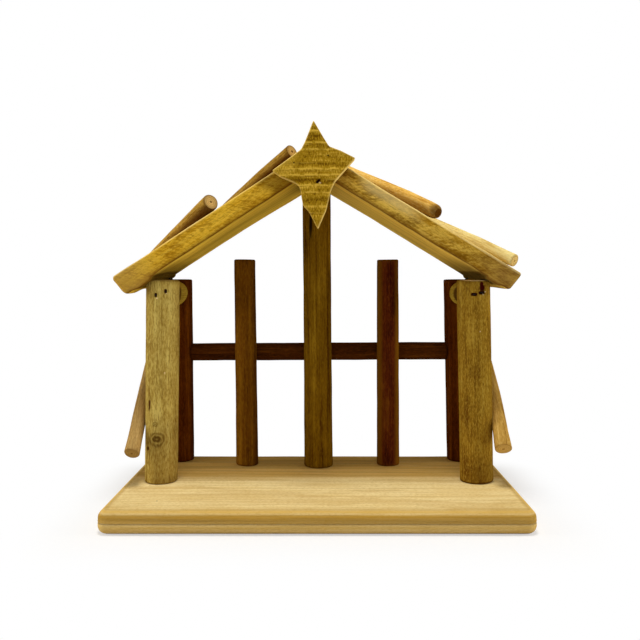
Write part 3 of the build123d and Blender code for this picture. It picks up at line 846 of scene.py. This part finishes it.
def roof_board(side, material, seed):
    """Board = middle line + p across + q out of the top + distance down from the ridge."""
    board = boards[side]
    length = board["length"]
    down, out = roof_axes(side)
    across = np.cross(down, out)
    centre = ridge + np.array((0, (roof_back + roof_front) / 2, 0)) - out * half_thick
    nails = near_brads(centre, centre + down * length, board_half + 10)
    nails = [nail for nail in nails if nail[1] @ out < -0.9]
    nail_p = [(place - centre) @ across for place, _ in nails]
    nail_u = [(place - centre) @ down / length for place, _ in nails]
    shrink, share, p, q = board_grid(length, nail_p, nail_u, seed)
    here = share * length
    from_front = board_half + p * across[1]
    painted_arris_light, crack, below, glue, shade_dab = edge_marks(side, here, q, from_front, seed)

    p = p * shrink
    q = q * shrink
    flat_q = q
    near = ease((60 - from_front) / 50)
    at_eave = ease((share - 0.35) / 0.6)
    above, under = board["swell"]
    q = q + at_eave * np.where(q > 0, above * q, under * q * near) / half_thick
    lower = board["droop"] * ease((share - 0.8) / 0.2)
    lower = lower + board["front_drop"] * (1 - ease((share - 0.6) / 0.35))
    # The shade dab is a dark bump of the underside that fills the shaded wedge above the post.
    lower = near * lower + (1 - near) * rear_drop[side] * ease(1 - here / 95) + shade_dab_thick * shade_dab
    q = q - lower * ease(-flat_q / half_thick)
    q = q + 0.18 * drift(here + 0.7 * p, seed + 2, 90)
    ridge_end = (half_thick - q) * np.tan(slopes[side]) + 0.12
    end = eave_end(p, np.clip(flat_q, -half_thick, half_thick), length, board["round"])
    along = ridge_end + share * (end - ridge_end)
    rings = centre + along[..., None] * down + p[..., None] * across + q[..., None] * out
    hole = np.zeros(p.shape)
    for place, drive in nails:
        punch(rings, hole, place, drive, inwards, 1.7, 2.8, nail_depth)

    on_front = ease(edge_round - from_front)
    # Painted shadow of the star on the front face beside it.
    edge_x, edge_z, way_x, way_z, reach = board["star_edge"]
    from_star = (rings[..., 0] - edge_x) * way_x + (rings[..., 2] - edge_z) * way_z
    glue = np.maximum(glue, board["star_shadow"] * ease((reach - from_star) / 9) * on_front)
    end_face = (shrink < 0.97) * np.ones_like(p)
    body = 1 - end_face
    tint = np.maximum(0.7 * end_face, 0.6 * ease((here - length + 45) / 40) * on_front)
    figure = [crack * body, np.clip(below, 0, 1) * body, np.clip(glue, 0, 1) * 0.9 * body]
    layers = {
        "grain": np.stack([p * mm, q * mm, along * mm + seed * 0.37], axis=-1),
        "marks": np.stack([painted_arris_light * body, hole, tint], axis=-1),
        "figure": np.stack(figure, axis=-1),
    }
    dress(f"roof_board_{side}", rings, layers, material)


# %% [markdown]
# ## The finish of a board
#
# A board is sawn out of a trunk, so its figure is the trunk's rings cut by flat faces. We keep that
# logic: the distance from a pith line outside the board, bent by noise, gives the rings, and every
# face then shows its own cut of them, long flames on top and arcs at the ends. Silky flecks that lie
# across the grain give the front edges their mottled look.

# %% Board finish


def board_finish(name, tones, pith, ring_gap, flecks, ring_dark=0.5, top_pale=0.4, blotch=0.66, dots=()):
    """Rings, streaks and flecks of sawn wood; grain is (across, depth, along) in metres.

    tones are pale, body, dark, end, edge and underside. The rings' middle is at pith, which leans, and
    they are ring_gap apart. blotch is the share of broad flecks, and dots are places of dark specks.
    """
    pale, body, dark, end_tone, edge, below_tone = (shade(*tone) for tone in tones)
    fin = Finish(name)
    grain = fin.read("grain")
    rim, hole, cap = fin.split(fin.read("marks"))
    crack, below, glue = fin.split(fin.read("figure"))
    p, q, along = fin.split(grain)
    warp = fin.noise(grain, (22, 22, 5), 4.0)
    streak = fin.noise(grain, (260, 260, 7), 4.0, 0.6)
    fine = fin.noise(grain, (1100, 1100, 30), 3.0)
    cloud = fin.noise(grain, (45, 60, 22), 3.0)
    speck = fin.noise(grain, (1200, 1200, 420), 2.0, 0.6)
    line = fin.step(fin.noise(grain, (330, 330, 3.5), 2.0), 0.55, 0.66)
    far = fin.length(p - pith[0] + along * pith[2], q - pith[1])
    turn = fin.add("ShaderNodeMath", {"operation": "FRACT"}, {0: far / ring_gap + warp * 3.0})
    late = fin.step(turn, 0.35, 0.92) * (1 - fin.step(turn, 0.93, 1.0))
    tone = streak * 0.45 + fine * 0.3 + cloud * 0.25
    colour = fin.mix(fin.step(tone, 0.40, 0.60), body, pale)
    colour = fin.mix(late * ring_dark, colour, dark)
    colour = fin.mix(line * 0.4, colour, dark)
    blot = fin.noise(fin.join(p * 60, (q - along * 0.4) * 110, along * 34), (1, 1, 1), 3.0, 0.6)
    lean = fin.join(p * 90, (q - along * 0.8) * 560, (along + q * 0.8) * 150)
    ripple = fin.noise(lean, (1, 1, 1), 2.0, 0.6)
    top = fin.step(q, 0.0058, 0.0068)
    show = (1 - top * 0.85) * flecks
    cross = blot * blotch + ripple * (1 - blotch)
    silk = fin.step(cross, 0.48, 0.60)
    mud = fin.step(cross, 0.49, 0.38)
    colour = fin.mix(silk * show, colour, pale)
    colour = fin.mix(mud * show, colour, dark)
    colour = fin.mix(fin.step(speck, 0.50, 0.36) * 0.35, colour, dark)
    colour = fin.mix(fin.step(speck, 0.54, 0.68) * 0.35, colour, pale)
    pore = fin.step(fin.noise(grain, (1700, 1700, 120), 2.0), 0.62, 0.70)
    colour = fin.mix(pore * 0.35, colour, dark)
    colour = fin.mix(top * top_pale, colour, edge)
    band = fin.step(streak, 0.36, 0.62)
    # On the base the end tone is also laid on the moulded edge as painted shade.
    colour = fin.mix(cap, colour, fin.mix(band, dim(end_tone, 0.8), dim(end_tone, 1.12)))
    # The underside tone: on a roof board the underside and the painted highlight strip, on the base the
    # roof's painted shadow.
    colour = fin.mix(below, colour, fin.mix(band, dim(below_tone, 0.68), below_tone))
    # Painted shade on the roof boards: near the front post, under the middle and beside the star.
    colour = fin.mix(glue, colour, shade(60, 32, 6))
    colour = fin.mix(crack, colour, shade(96, 50, 6))
    # Painted highlights: a roof board's top arris, and the rounds of the base's edge.
    colour = fin.mix(rim, colour, edge)
    colour = fin.mix(hole, colour, shade(64, 28, 4))
    for dot in dots:
        away = fin.add("ShaderNodeVectorMath", {"operation": "DISTANCE"}, {0: grain, 1: dot}, "Value")
        colour = fin.mix(fin.step(away, 0.0009, 0.0004) * 0.8, colour, dim(dark, 0.25))
    rough = 0.55 + (cloud - 0.5) * 0.3 + pore * 0.1
    height = fine * 0.4 + late * 0.3 + streak * 0.3 - pore * 0.3 + ripple * show * 0.9 - crack * 0.5
    return fin.close(colour, rough, height, 0.5, 0.0006)


# %% The two roof boards
left_tones = ((238, 194, 62), (211, 159, 30), (148, 98, 10), (182, 144, 71), (242, 216, 140), (234, 192, 68))
right_tones = ((226, 186, 78), (176, 130, 28), (112, 75, 7), (114, 77, 41), (250, 226, 152), (236, 194, 84))
left_roof_wood = board_finish(
    "left_roof_wood", left_tones, (0.16, -0.05, 0.06), 0.0048, 0.55, ring_dark=0.35, blotch=0.35,
)
right_roof_wood = board_finish("right_roof_wood", right_tones, (-0.13, 0.07, -0.05), 0.0052, 0.65)
roof_board("left", left_roof_wood, 31)
roof_board("right", right_roof_wood, 32)

# %% [markdown]
# ## Sticks on the roof, braces on the sides
#
# Two thin sticks lie slantwise on each board and one leans against each pair of posts. They are logs
# again, only thinner, with more bow. A stick that is thicker than the frame's lies higher by as much.

# %% Roof sticks
stick_length = 124.06
slant = np.sqrt(0.5)


def roof_stick(place, down_slope, front_radius, back_radius, lift, material, seed, tip=1.0, **shape):
    """Stick that starts at the roof's front edge, so far down the slope, and crosses the board."""
    side = place.split("_")[0]
    down, out = roof_axes(side)
    edge = np.array((0, roof_front + front_radius * slant + 0.2, 0))
    start = ridge + edge + down * down_slope
    end = start + (down * -ways[side] * slant + np.array((0, slant, 0))) * stick_length
    foot = start + out * (front_radius + lift)
    head = end + out * (back_radius + roof_gap)
    middle = (front_radius + back_radius) / 2
    front = ((0, front_radius * tip), (0.08, front_radius))
    radii = (*front, (0.3, middle * 1.02), (0.7, middle * 0.99), (1, back_radius))
    rings, layers = log_rings(foot, head, radii, out, seed, step=0.8, **shape)
    dress(f"roof_stick_{place}", rings, layers, material)


left_stick_wood = log_finish(
    "left_stick_wood", ((214, 176, 92), (182, 140, 56), (120, 82, 22), (232, 190, 112), (62, 26, 5)),
    patchy=0.4, pores=0.4, wear_and_painted_light=0.85, grit=0.4,
)
upper_stick_wood = log_finish(
    "upper_stick_wood", ((180, 142, 62), (150, 110, 36), (98, 64, 14), (226, 184, 106), (62, 26, 4)),
    patchy=0.4, pores=0.4, wear_and_painted_light=0.85, grit=0.4,
)
right_stick_wood = log_finish(
    "right_stick_wood", ((255, 226, 148), (242, 192, 92), (190, 130, 38), (120, 80, 22), (84, 48, 8)),
    patchy=0.4, pores=0.35, wear_and_painted_light=0.85, grit=0.35,
)
pale_stick_wood = log_finish(
    "pale_stick_wood", ((255, 242, 184), (252, 230, 152), (220, 186, 104), (240, 204, 124), (150, 112, 44)),
    patchy=0.4, pores=0.35, wear_and_painted_light=0.6, grit=0.35,
)
# Each stick is painted darker on the side that lies on the board: painted shade.
roof_stick("left_upper", 15.4, 5.4, 5.5, 0.0, upper_stick_wood, 41, rim=0.8, bow=0.6, under=1.0)
roof_stick("left_lower", 88.1, 6.4, 5.4, 1.0, left_stick_wood, 42, rim=0.8, bow=0.4, under=1.0)
roof_stick(
    "right_upper", 108.0, 6.3, 6.7, 1.0, right_stick_wood, 43,
    tip=0.9, rim=4.0, bow=0.6, stain=9.5, fade=0.95, under=0.7,
)
roof_stick("right_lower", 176.2, 4.7, 5.7, 2.1, pale_stick_wood, 44, rim=0.7, bow=0.4, under=0.3)

# %% Braces
post_side = 134.35


def brace(side, foot_y, foot_z, slope, length, radii, inward, material, seed):
    """Stick that leans back against the outside of two posts, its foot bent inwards."""
    lean = np.radians(slope)
    foot = np.array((ways[side] * (post_side + radii[0][1] - inward), foot_y, foot_z))
    head = np.array((ways[side] * (post_side + radii[-1][1]), foot_y, foot_z))
    head = head + np.array((0, np.cos(lean), np.sin(lean))) * length
    rings, layers = log_rings(foot, head, radii, (ways[side], 0, 0), seed, rim=0.8, bow=inward, step=0.8)
    dress(f"brace_{side}", rings, layers, material)


left_brace_wood = log_finish(
    "left_brace_wood", ((205, 171, 106), (177, 142, 82), (135, 99, 49), (179, 144, 80), (119, 85, 41)),
    patchy=0.4, pores=0.35,
)
right_brace_wood = log_finish(
    "right_brace_wood", ((222, 184, 104), (188, 146, 68), (132, 92, 32), (222, 182, 100), (146, 102, 44)),
    patchy=0.4, pores=0.35,
)
left_brace_radii = ((0, 6.0), (0.1, 5.6), (0.5, 5.3), (1, 5.0))
right_brace_radii = ((0, 6.3), (0.12, 5.7), (0.5, 5.3), (1, 4.9))
brace("left", -21.0, 41.5, 44.0, 130.68, left_brace_radii, 0.4, left_brace_wood, 45)
brace("right", -23.8, 45.6, 39.5, 125.4, right_brace_radii, 1.8, right_brace_wood, 46)

# %% [markdown]
# ## Base board
#
# The base is a thick plank with a moulded edge: a round above, a thin groove half way down, and a round
# below. We carry that profile round the plank's outline. Row after row, the profile says how far in
# from the outline the ring lies and how high; the flat faces are the same ring shrinking to the middle.

# %% Profile of the base's edge
base_half_x = 149.95
base_half_y = 77.45
base_thick = 16.0
base_corner = 8.0
low_round = 5.0
high_round = 5.2
lip = 0.12
groove_at = 7.55
quarter = np.linspace(0, np.pi / 2, 12)
groove_z = np.linspace(-1.4, 1.4, 15)
edge_in = np.concatenate([
    low_round * (1 - np.sin(quarter)), 0.4 * np.exp(-((groove_z / 0.42) ** 2)), lip * np.ones(4),
    lip + high_round * (1 - np.cos(quarter[1:])),
])
edge_z = np.concatenate([
    5.6 * (1 - np.cos(quarter)), groove_at + groove_z, np.linspace(9.3, 10.4, 4),
    10.5 + 5.5 * np.sin(quarter[1:]),
])
print("profile of the base's edge:", edge_z.size, "points")

# %% Base board


def base_board(material):
    """Plank: each ring is the rounded outline moved in by the profile, at the profile's height."""
    face_share = np.linspace(0.02, 0.985, 44)
    face = 0 * face_share
    inset = np.concatenate([low_round + face, edge_in, lip + high_round + face])[:, None]
    height = np.concatenate([face, edge_z, base_thick + face])[:, None]
    shrink = np.concatenate([face_share, 1 + 0 * edge_z, face_share[::-1]])[:, None]
    y, x = rounded_outline(
        base_half_y - inset, base_half_x - inset, base_corner - inset,
        np.linspace(-1, 1, 70)[None, :], np.linspace(-1, 1, 150)[None, :], bends=10,
    )
    x = x * shrink
    y = y * shrink
    on_edge = (shrink == 1) * np.ones_like(x)
    on_top = height >= base_thick
    ripple = 0.10 * drift(x + 0.4 * y, 51, 130) * (shrink > 0.9)
    z = height + ripple * (height > 8) * (height < base_thick)
    # Painted highlights on the upper and the lower round of the edge.
    painted_highlight = on_edge * np.exp(-(((z - 15.2) / 0.8) ** 2)) * 0.7
    painted_highlight = painted_highlight + on_edge * 0.55 * np.exp(-(((z - 5.2) / 1.6) ** 2))
    # Painted shade in the groove and along the edge of the top.
    top_line = 0.14 * np.exp(-(((z - 15.95) / 0.2) ** 2))
    groove_shade = on_edge * (0.42 * np.exp(-(((z - groove_at) / 0.45) ** 2)) + top_line)
    # Painted shade on the upright band and the lower round: the end tone laid over them, strongest high on
    # the band.
    mid_band_shade = on_edge * ease((z - 7.6) / 0.8) * ease((14.6 - z) / 1.6)
    mid_band_shade = mid_band_shade * (0.8 + 0.1 * ease((z - 9.5) / 4.5))
    low_band_shade = on_edge * (0.25 + 0.35 * ease((4.5 - z) / 2.5))
    end_grain = on_edge * ease((np.abs(x) - 142) / 7) * 0.25
    front_strip = 0.28 * ease((-y - 64) / 7) * on_top
    tint = np.maximum(np.maximum(mid_band_shade, low_band_shade), np.maximum(end_grain, front_strip))
    # Painted shadow of the roof on the back of the top.
    painted_roof_shadow = 0.7 * ease((y + 2) / 16) * on_top
    layers = {
        "grain": np.stack([y, z, x], axis=-1) * mm + np.array((0, 0, base_shift)),
        "marks": np.stack([painted_highlight, groove_shade, tint], axis=-1),
        "figure": np.stack([0 * x, painted_roof_shadow, 0 * x], axis=-1),
    }
    dress("base_board", np.stack([x, y, z], axis=-1), layers, material)


base_shift = 1.9
# The end tone is also the painted shade on the moulded edge, the edge tone its painted highlight, and the
# underside tone the roof's painted shadow on the top.
base_tones = (
    (239, 216, 156), (225, 196, 129), (189, 151, 82), (176, 133, 42), (214, 171, 78), (206, 156, 60),
)
base_wood = board_finish(
    "base_wood", base_tones, (0.045, -0.16, 0.05), 0.0072, 0.24, ring_dark=0.3, top_pale=0.0,
    dots=((-0.0531, 0.016, base_shift - 0.1135), (-0.0774, 0.0142, base_shift - 0.0701)),
)
base_board(base_wood)

# %% [markdown]
# ## Star
#
# The star was cut out of a rough-sawn slat with a fine saw. Its rings follow the star's outline and
# shrink to its middle, so the edge can be eased by hand. The front carries the saw's marks: level bands
# a few millimetres high, each a little deeper or shallower than the next, with a painted highlight on
# each ridge that the saw left and painted shade in each hollow where it dug in. The eased edge and the
# sides are painted paler where they run up to the right: painted edge light.

# %% The outline of the star
star_points = np.array((
    (-3.3, 291.0), (4.6, 277.6), (8.4, 271.6), (17.2, 268.3), (28.1, 262.8), (12.6, 245.2), (9.6, 238.2),
    (6.2, 223.9), (0.0, 210.0), (-6.4, 222.6), (-8.4, 225.0), (-11.1, 227.8), (-12.2, 234.0),
    (-12.8, 238.6), (-14.2, 242.6), (-18.0, 244.9),
    (-27.4, 248.8), (-34.1, 253.4), (-12.6, 269.3), (-9.8, 274.6),
))
loop = np.concatenate([star_points, star_points[:1]])
walked = np.concatenate([[0], np.cumsum(np.linalg.norm(np.diff(loop, axis=0), axis=1))])
steps = np.linspace(0, walked[-1], 420, endpoint=False)
outline = np.stack([np.interp(steps, walked, loop[:, 0]), np.interp(steps, walked, loop[:, 1])], axis=-1)
for _ in range(3):
    outline = (np.roll(outline, 1, axis=0) + outline + np.roll(outline, -1, axis=0)) / 3
tangent = np.roll(outline, -1, axis=0) - np.roll(outline, 1, axis=0)
tangent /= np.linalg.norm(tangent, axis=1, keepdims=True)
# Painted edge light: an edge that runs up to the right is painted paler than one that runs the other way.
painted_edge_light = 0.2 + 0.8 * (tangent @ np.array((0.8, 0.6))) ** 2
print("star outline:", round(walked[-1]), "mm round")

# %% Saw lines of the star
ridges = np.array((283.1, 274.2, 269.2, 254.7, 250.2, 242.7, 237.2, 226.7))
hollows = np.array((279.2, 275.7, 271.3, 258.5, 246.8, 239.7, 232.0))


def saw_lines(x, z):
    """Painted highlight and shade: bumps of the height over each ridge and hollow, broken up by slow waves.
    """
    level = (z - 0.01 * x + 0.45 * drift(x, 64, 17))[..., None]
    painted_ridge_light = np.exp(-(((level - ridges) / 0.6) ** 2)).max(axis=-1)
    painted_ridge_light = painted_ridge_light * ease(0.75 + 0.6 * drift(x + z, 65, 11))
    # A painted highlight on the upper left arm too.
    painted_ridge_light = np.maximum(painted_ridge_light, 0.4 * ease((-x - 13) / 8) * ease((z - 247) / 6))
    hollow_shade_and_seam = np.exp(-(((level - hollows) / 1.3) ** 2)).max(axis=-1)
    hollow_shade_and_seam = hollow_shade_and_seam * ease(0.8 + 0.5 * drift(x - z, 66, 17))
    # A dark seam runs up the lower arm.
    seam = np.exp(-(((x + 2.2) / 0.7) ** 2)) * ease((243 - z) / 5) * ease((z - 217) / 7)
    return painted_ridge_light, np.maximum(hollow_shade_and_seam, 0.9 * seam)


# %% The shape of the star
star_middle = np.array((-1.5, 253.5))
star_front = -27.55
star_thick = 8.9
nail_spot = (0.2, 245.6)
speck_spots = ((7.6, 264.6), (-17.7, 259.3))


def star(material):
    """Star = middle + shrink * (outline - middle), at a depth that rounds the front and back edges."""
    turn = np.linspace(0, np.pi / 2, 6)[1:]
    face_share = np.linspace(0.02, 0.96, 64)
    back_share = np.linspace(0.975, 0.03, 24)
    shrink = np.concatenate([
        face_share, 0.96 + 0.04 * np.sin(turn), np.ones(8), 0.98 + 0.02 * np.cos(turn), back_share,
    ])[:, None]
    deep = np.concatenate([
        0 * face_share, 1.1 * (1 - np.cos(turn)), np.linspace(1.6, 7.9, 8),
        star_thick - 0.7 * (1 - np.sin(turn)), star_thick + 0 * back_share,
    ])[:, None]
    spread = (outline - star_middle)[None] * shrink[..., None]
    x = star_middle[0] + spread[..., 0]
    z = star_middle[1] + spread[..., 1]
    on_face = deep < 0.5
    band = drift(z + 0.03 * x, 61, 19, 6) + 0.5 * drift(z, 62, 5.3, 3)
    relief = (0.22 * band + 0.05 * drift(x + 0.5 * band, 63, 2.7, 3)) * on_face
    rings = np.stack([x, star_front + deep + relief, z], axis=-1)
    hole = np.zeros(x.shape)
    slanted = np.array((np.sin(0.8), 0, np.cos(0.8)))
    punch(rings, hole, np.array((nail_spot[0], star_front, nail_spot[1])), inwards, slanted, 1.9, 3.6, 1.6)
    for speck_x, speck_z in speck_spots:
        punch(rings, hole, np.array((speck_x, star_front, speck_z)), inwards, upwards, 1.0, 1.2, 0.5)
    splinter = ease(2 - 2 * np.hypot((x - 1.6) / 1.2, (z - 244.3) / 0.7)) * on_face * 0.6
    painted_ridge_light, hollow_shade_and_seam = saw_lines(x, z)
    rings[..., 1] += (0.15 * hollow_shade_and_seam - 0.15 * painted_ridge_light) * on_face
    # Painted highlight on the eased edge and the sides, strongest where an edge runs up to the right.
    wear_and_painted_light = np.exp(-((1 - shrink) / 0.035) ** 2) * painted_edge_light * (deep < 4)
    painted_wall_light = (deep > 0.9) * (deep < star_thick - 0.3) * painted_edge_light
    layers = {
        "grain": np.stack([x, deep + 0 * x, z], axis=-1) * mm,
        "marks": np.stack([wear_and_painted_light, hole, painted_wall_light], axis=-1),
        "figure": np.stack([splinter, painted_ridge_light, hollow_shade_and_seam], axis=-1),
    }
    dress("star", rings, layers, material)


# %% Finish of the star


def star_finish(name, tones):
    """Level saw bands with fine upright hatching; tones are pale, body, dark and the painted highlight of the
    edge.
    """
    pale, body, dark, edge = (shade(*tone) for tone in tones)
    fin = Finish(name)
    grain = fin.read("grain")
    rim, hole, painted_wall_light = fin.split(fin.read("marks"))
    splinter, painted_ridge_light, hollow_shade_and_seam = fin.split(fin.read("figure"))
    bands = fin.noise(grain, (14, 14, 210), 3.0, 0.6)
    thin = fin.noise(grain, (22, 22, 480), 2.0)
    hatch = fin.noise(grain, (1100, 1100, 400), 3.0, 0.65)
    cloud = fin.noise(grain, (90, 90, 90), 3.0)
    tone = bands * 0.36 + hatch * 0.5 + cloud * 0.14 + painted_ridge_light * 0.12 - hollow_shade_and_seam * 0.05
    colour = fin.mix(fin.step(tone, 0.40, 0.50), dark, body)
    colour = fin.mix(fin.step(tone, 0.50, 0.61), colour, pale)
    colour = fin.mix(fin.step(thin, 0.58, 0.68) * 0.6, colour, pale)
    colour = fin.mix(fin.step(thin, 0.42, 0.33) * 0.5, colour, dark)
    # Painted highlights on the saw ridges, the sides and the eased edge.
    colour = fin.mix(painted_ridge_light * 0.45, colour, pale)
    colour = fin.mix(painted_wall_light * 0.8, colour, edge)
    colour = fin.mix(rim * 0.9, colour, edge)
    colour = fin.mix(hole, colour, shade(40, 14, 8))
    colour = fin.mix(splinter, colour, shade(240, 216, 160))
    rough = 0.62 + (hatch - 0.5) * 0.3
    height = bands * 0.4 + hatch * 0.6 + thin * 0.4
    return fin.close(colour, rough, height, 0.6, 0.0008)


star(star_finish("star_wood", ((218, 178, 64), (167, 129, 24), (108, 74, 7), (246, 214, 124))))

# %% [markdown]
# ## Brads and screws
#
# The brads and the screws under the base keep their CAD shapes, which are already right. In their holes
# they look dark, so they get a dull, dark steel with a little stain, from noise in object coordinates.

# %% Steel of the fasteners


def steel_finish(name):
    """Dull wire steel: dark grey that clouds towards brown, rougher where it is stained."""
    fin = Finish(name)
    place = fin.add("ShaderNodeTexCoord", {}, {}, "Object")
    stain = fin.step(fin.noise(place, (420, 420, 420), 4.0), 0.45, 0.65)
    scratch = fin.noise(place, (2600, 2600, 300), 2.0)
    colour = fin.mix(stain, shade(40, 34, 29), shade(26, 19, 14))
    fin.plug(fin.shader.inputs["Metallic"], 0.4)
    return fin.close(colour, 0.6 + stain * 0.2 + scratch * 0.1, scratch, 0.2, 0.0002, 0.1)


steel = steel_finish("fastener_steel")
for name in (*brad_nodes, "base_screws"):
    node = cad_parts[name]
    node.data.materials.clear()
    node.data.materials.append(steel)
print("steel on", len(brad_nodes) + 1, "groups of fasteners")

# %% [markdown]
# ## Stage, light and camera
#
# The picture was taken on white, close up and a little below the eaves, with soft light from above and
# in front. A warm, weak world lights everything evenly and shows as white to the camera. A soft lamp
# overhead gives the tops their brightness, two fill the sides, and weak ones stand in front and behind.
# The floor is pale and keeps the stable's shadow near it, then fades to white.

# %% Floor
floor_half = 3.0
floor_drop = 0.0003
floor_corners = np.array(((-1, -1, 0), (1, -1, 0), (1, 1, 0), (-1, 1, 0))) * floor_half
floor_corners[:, 2] = -floor_drop
floor_mesh = bpy.data.meshes.new("floor")
floor_mesh.from_pydata(floor_corners, [], [(0, 1, 2, 3)])
floor = bpy.data.objects.new("floor", floor_mesh)
bpy.context.scene.collection.objects.link(floor)
paper = Finish("paper")
spot = paper.add("ShaderNodeTexCoord", {}, {}, "Object")
past = []
for place, half in zip(paper.split(spot), (0.15, 0.0775)):
    beside = paper.add("ShaderNodeMath", {"operation": "ABSOLUTE"}, {0: place}) - half
    past.append(paper.add("ShaderNodeMath", {"operation": "MAXIMUM"}, {0: beside, 1: 0.0}))
fade = 0.5 + paper.step(paper.length(*past), 0.0, 0.06) * 0.5
seen = paper.add("ShaderNodeLightPath", {}, {}, "Is Camera Ray")
tone = paper.mix(seen, shade(225, 225, 225), shade(252, 252, 252))
diffuse = paper.add("ShaderNodeBsdfDiffuse", {}, {"Color": tone})
white = paper.add("ShaderNodeEmission", {}, {"Color": (1, 1, 1, 1), "Strength": 1.0})
blend = paper.add("ShaderNodeMixShader", {}, {0: seen * fade, 1: diffuse, 2: white})
paper.plug(paper.tree.nodes["Material Output"].inputs["Surface"], blend)
floor_mesh.materials.append(paper.material)
print("floor:", 2 * floor_half, "m wide")

# %% World and lamps
sky = Finish("studio", bpy.data.worlds.new("studio"))
bpy.context.scene.world = sky.material
rays = sky.add("ShaderNodeLightPath", {}, {}, "Is Camera Ray")
glossy = Wire(sky, rays.socket.node.outputs["Is Glossy Ray"])
through = Wire(sky, rays.socket.node.outputs["Is Transmission Ray"])
shown = sky.step(rays + glossy + through, 0.0, 1.0)
sky_light = 0.2
sky.plug(sky.tree.nodes["Background"].inputs["Color"], sky.mix(shown, (1.0, 0.92, 0.77, 1), (1, 1, 1, 1)))
sky.plug(sky.tree.nodes["Background"].inputs["Strength"], sky_light + shown * (1 - sky_light))


stable_middle = np.array((0, 0.02, 0.12))


def soft_lamp(name, place, size, watts):
    """Square lamp of a given size that looks at the middle of the stable."""
    data = bpy.data.lights.new(name, "AREA")
    data.size = size
    data.energy = watts
    lamp = bpy.data.objects.new(name, data)
    away = np.array(place) - stable_middle
    flat = np.hypot(away[0], away[1])
    lamp.location = place
    lamp.rotation_euler = (np.arctan2(flat, away[2]), 0, np.arctan2(away[0], -away[1]))
    bpy.context.scene.collection.objects.link(lamp)


soft_lamp("overhead", (-0.05, -0.25, 1.6), 0.4, 14.5)
soft_lamp("side_left", (-1.2, -0.1, 0.25), 0.8, 8.2)
soft_lamp("side_right", (1.2, -0.1, 0.25), 0.8, 8.2)
soft_lamp("front", (0.0, -1.5, 0.75), 1.0, 2.8)
soft_lamp("behind", (0.2, 1.3, 0.5), 0.8, 2.0)
bpy.context.scene.view_settings.view_transform = "Standard"
print("lamps:", len(bpy.data.lights))

# %% Camera
camera_data = bpy.data.cameras.new("camera")
camera_data.lens = 40.5
camera_data.sensor_width = 36.0
camera_data.shift_x = -0.0073
camera_data.shift_y = -0.0688
camera = bpy.data.objects.new("camera", camera_data)
camera.location = (0.0051, -0.5622, 0.1751)
camera.rotation_euler = (np.pi / 2, 0, 0)
bpy.context.scene.collection.objects.link(camera)
bpy.context.scene.camera = camera
print("camera at", tuple(camera.location))

# %% [markdown]
# ## Last look at the size
# The pieces must stay in the space that the CAD model gives them.
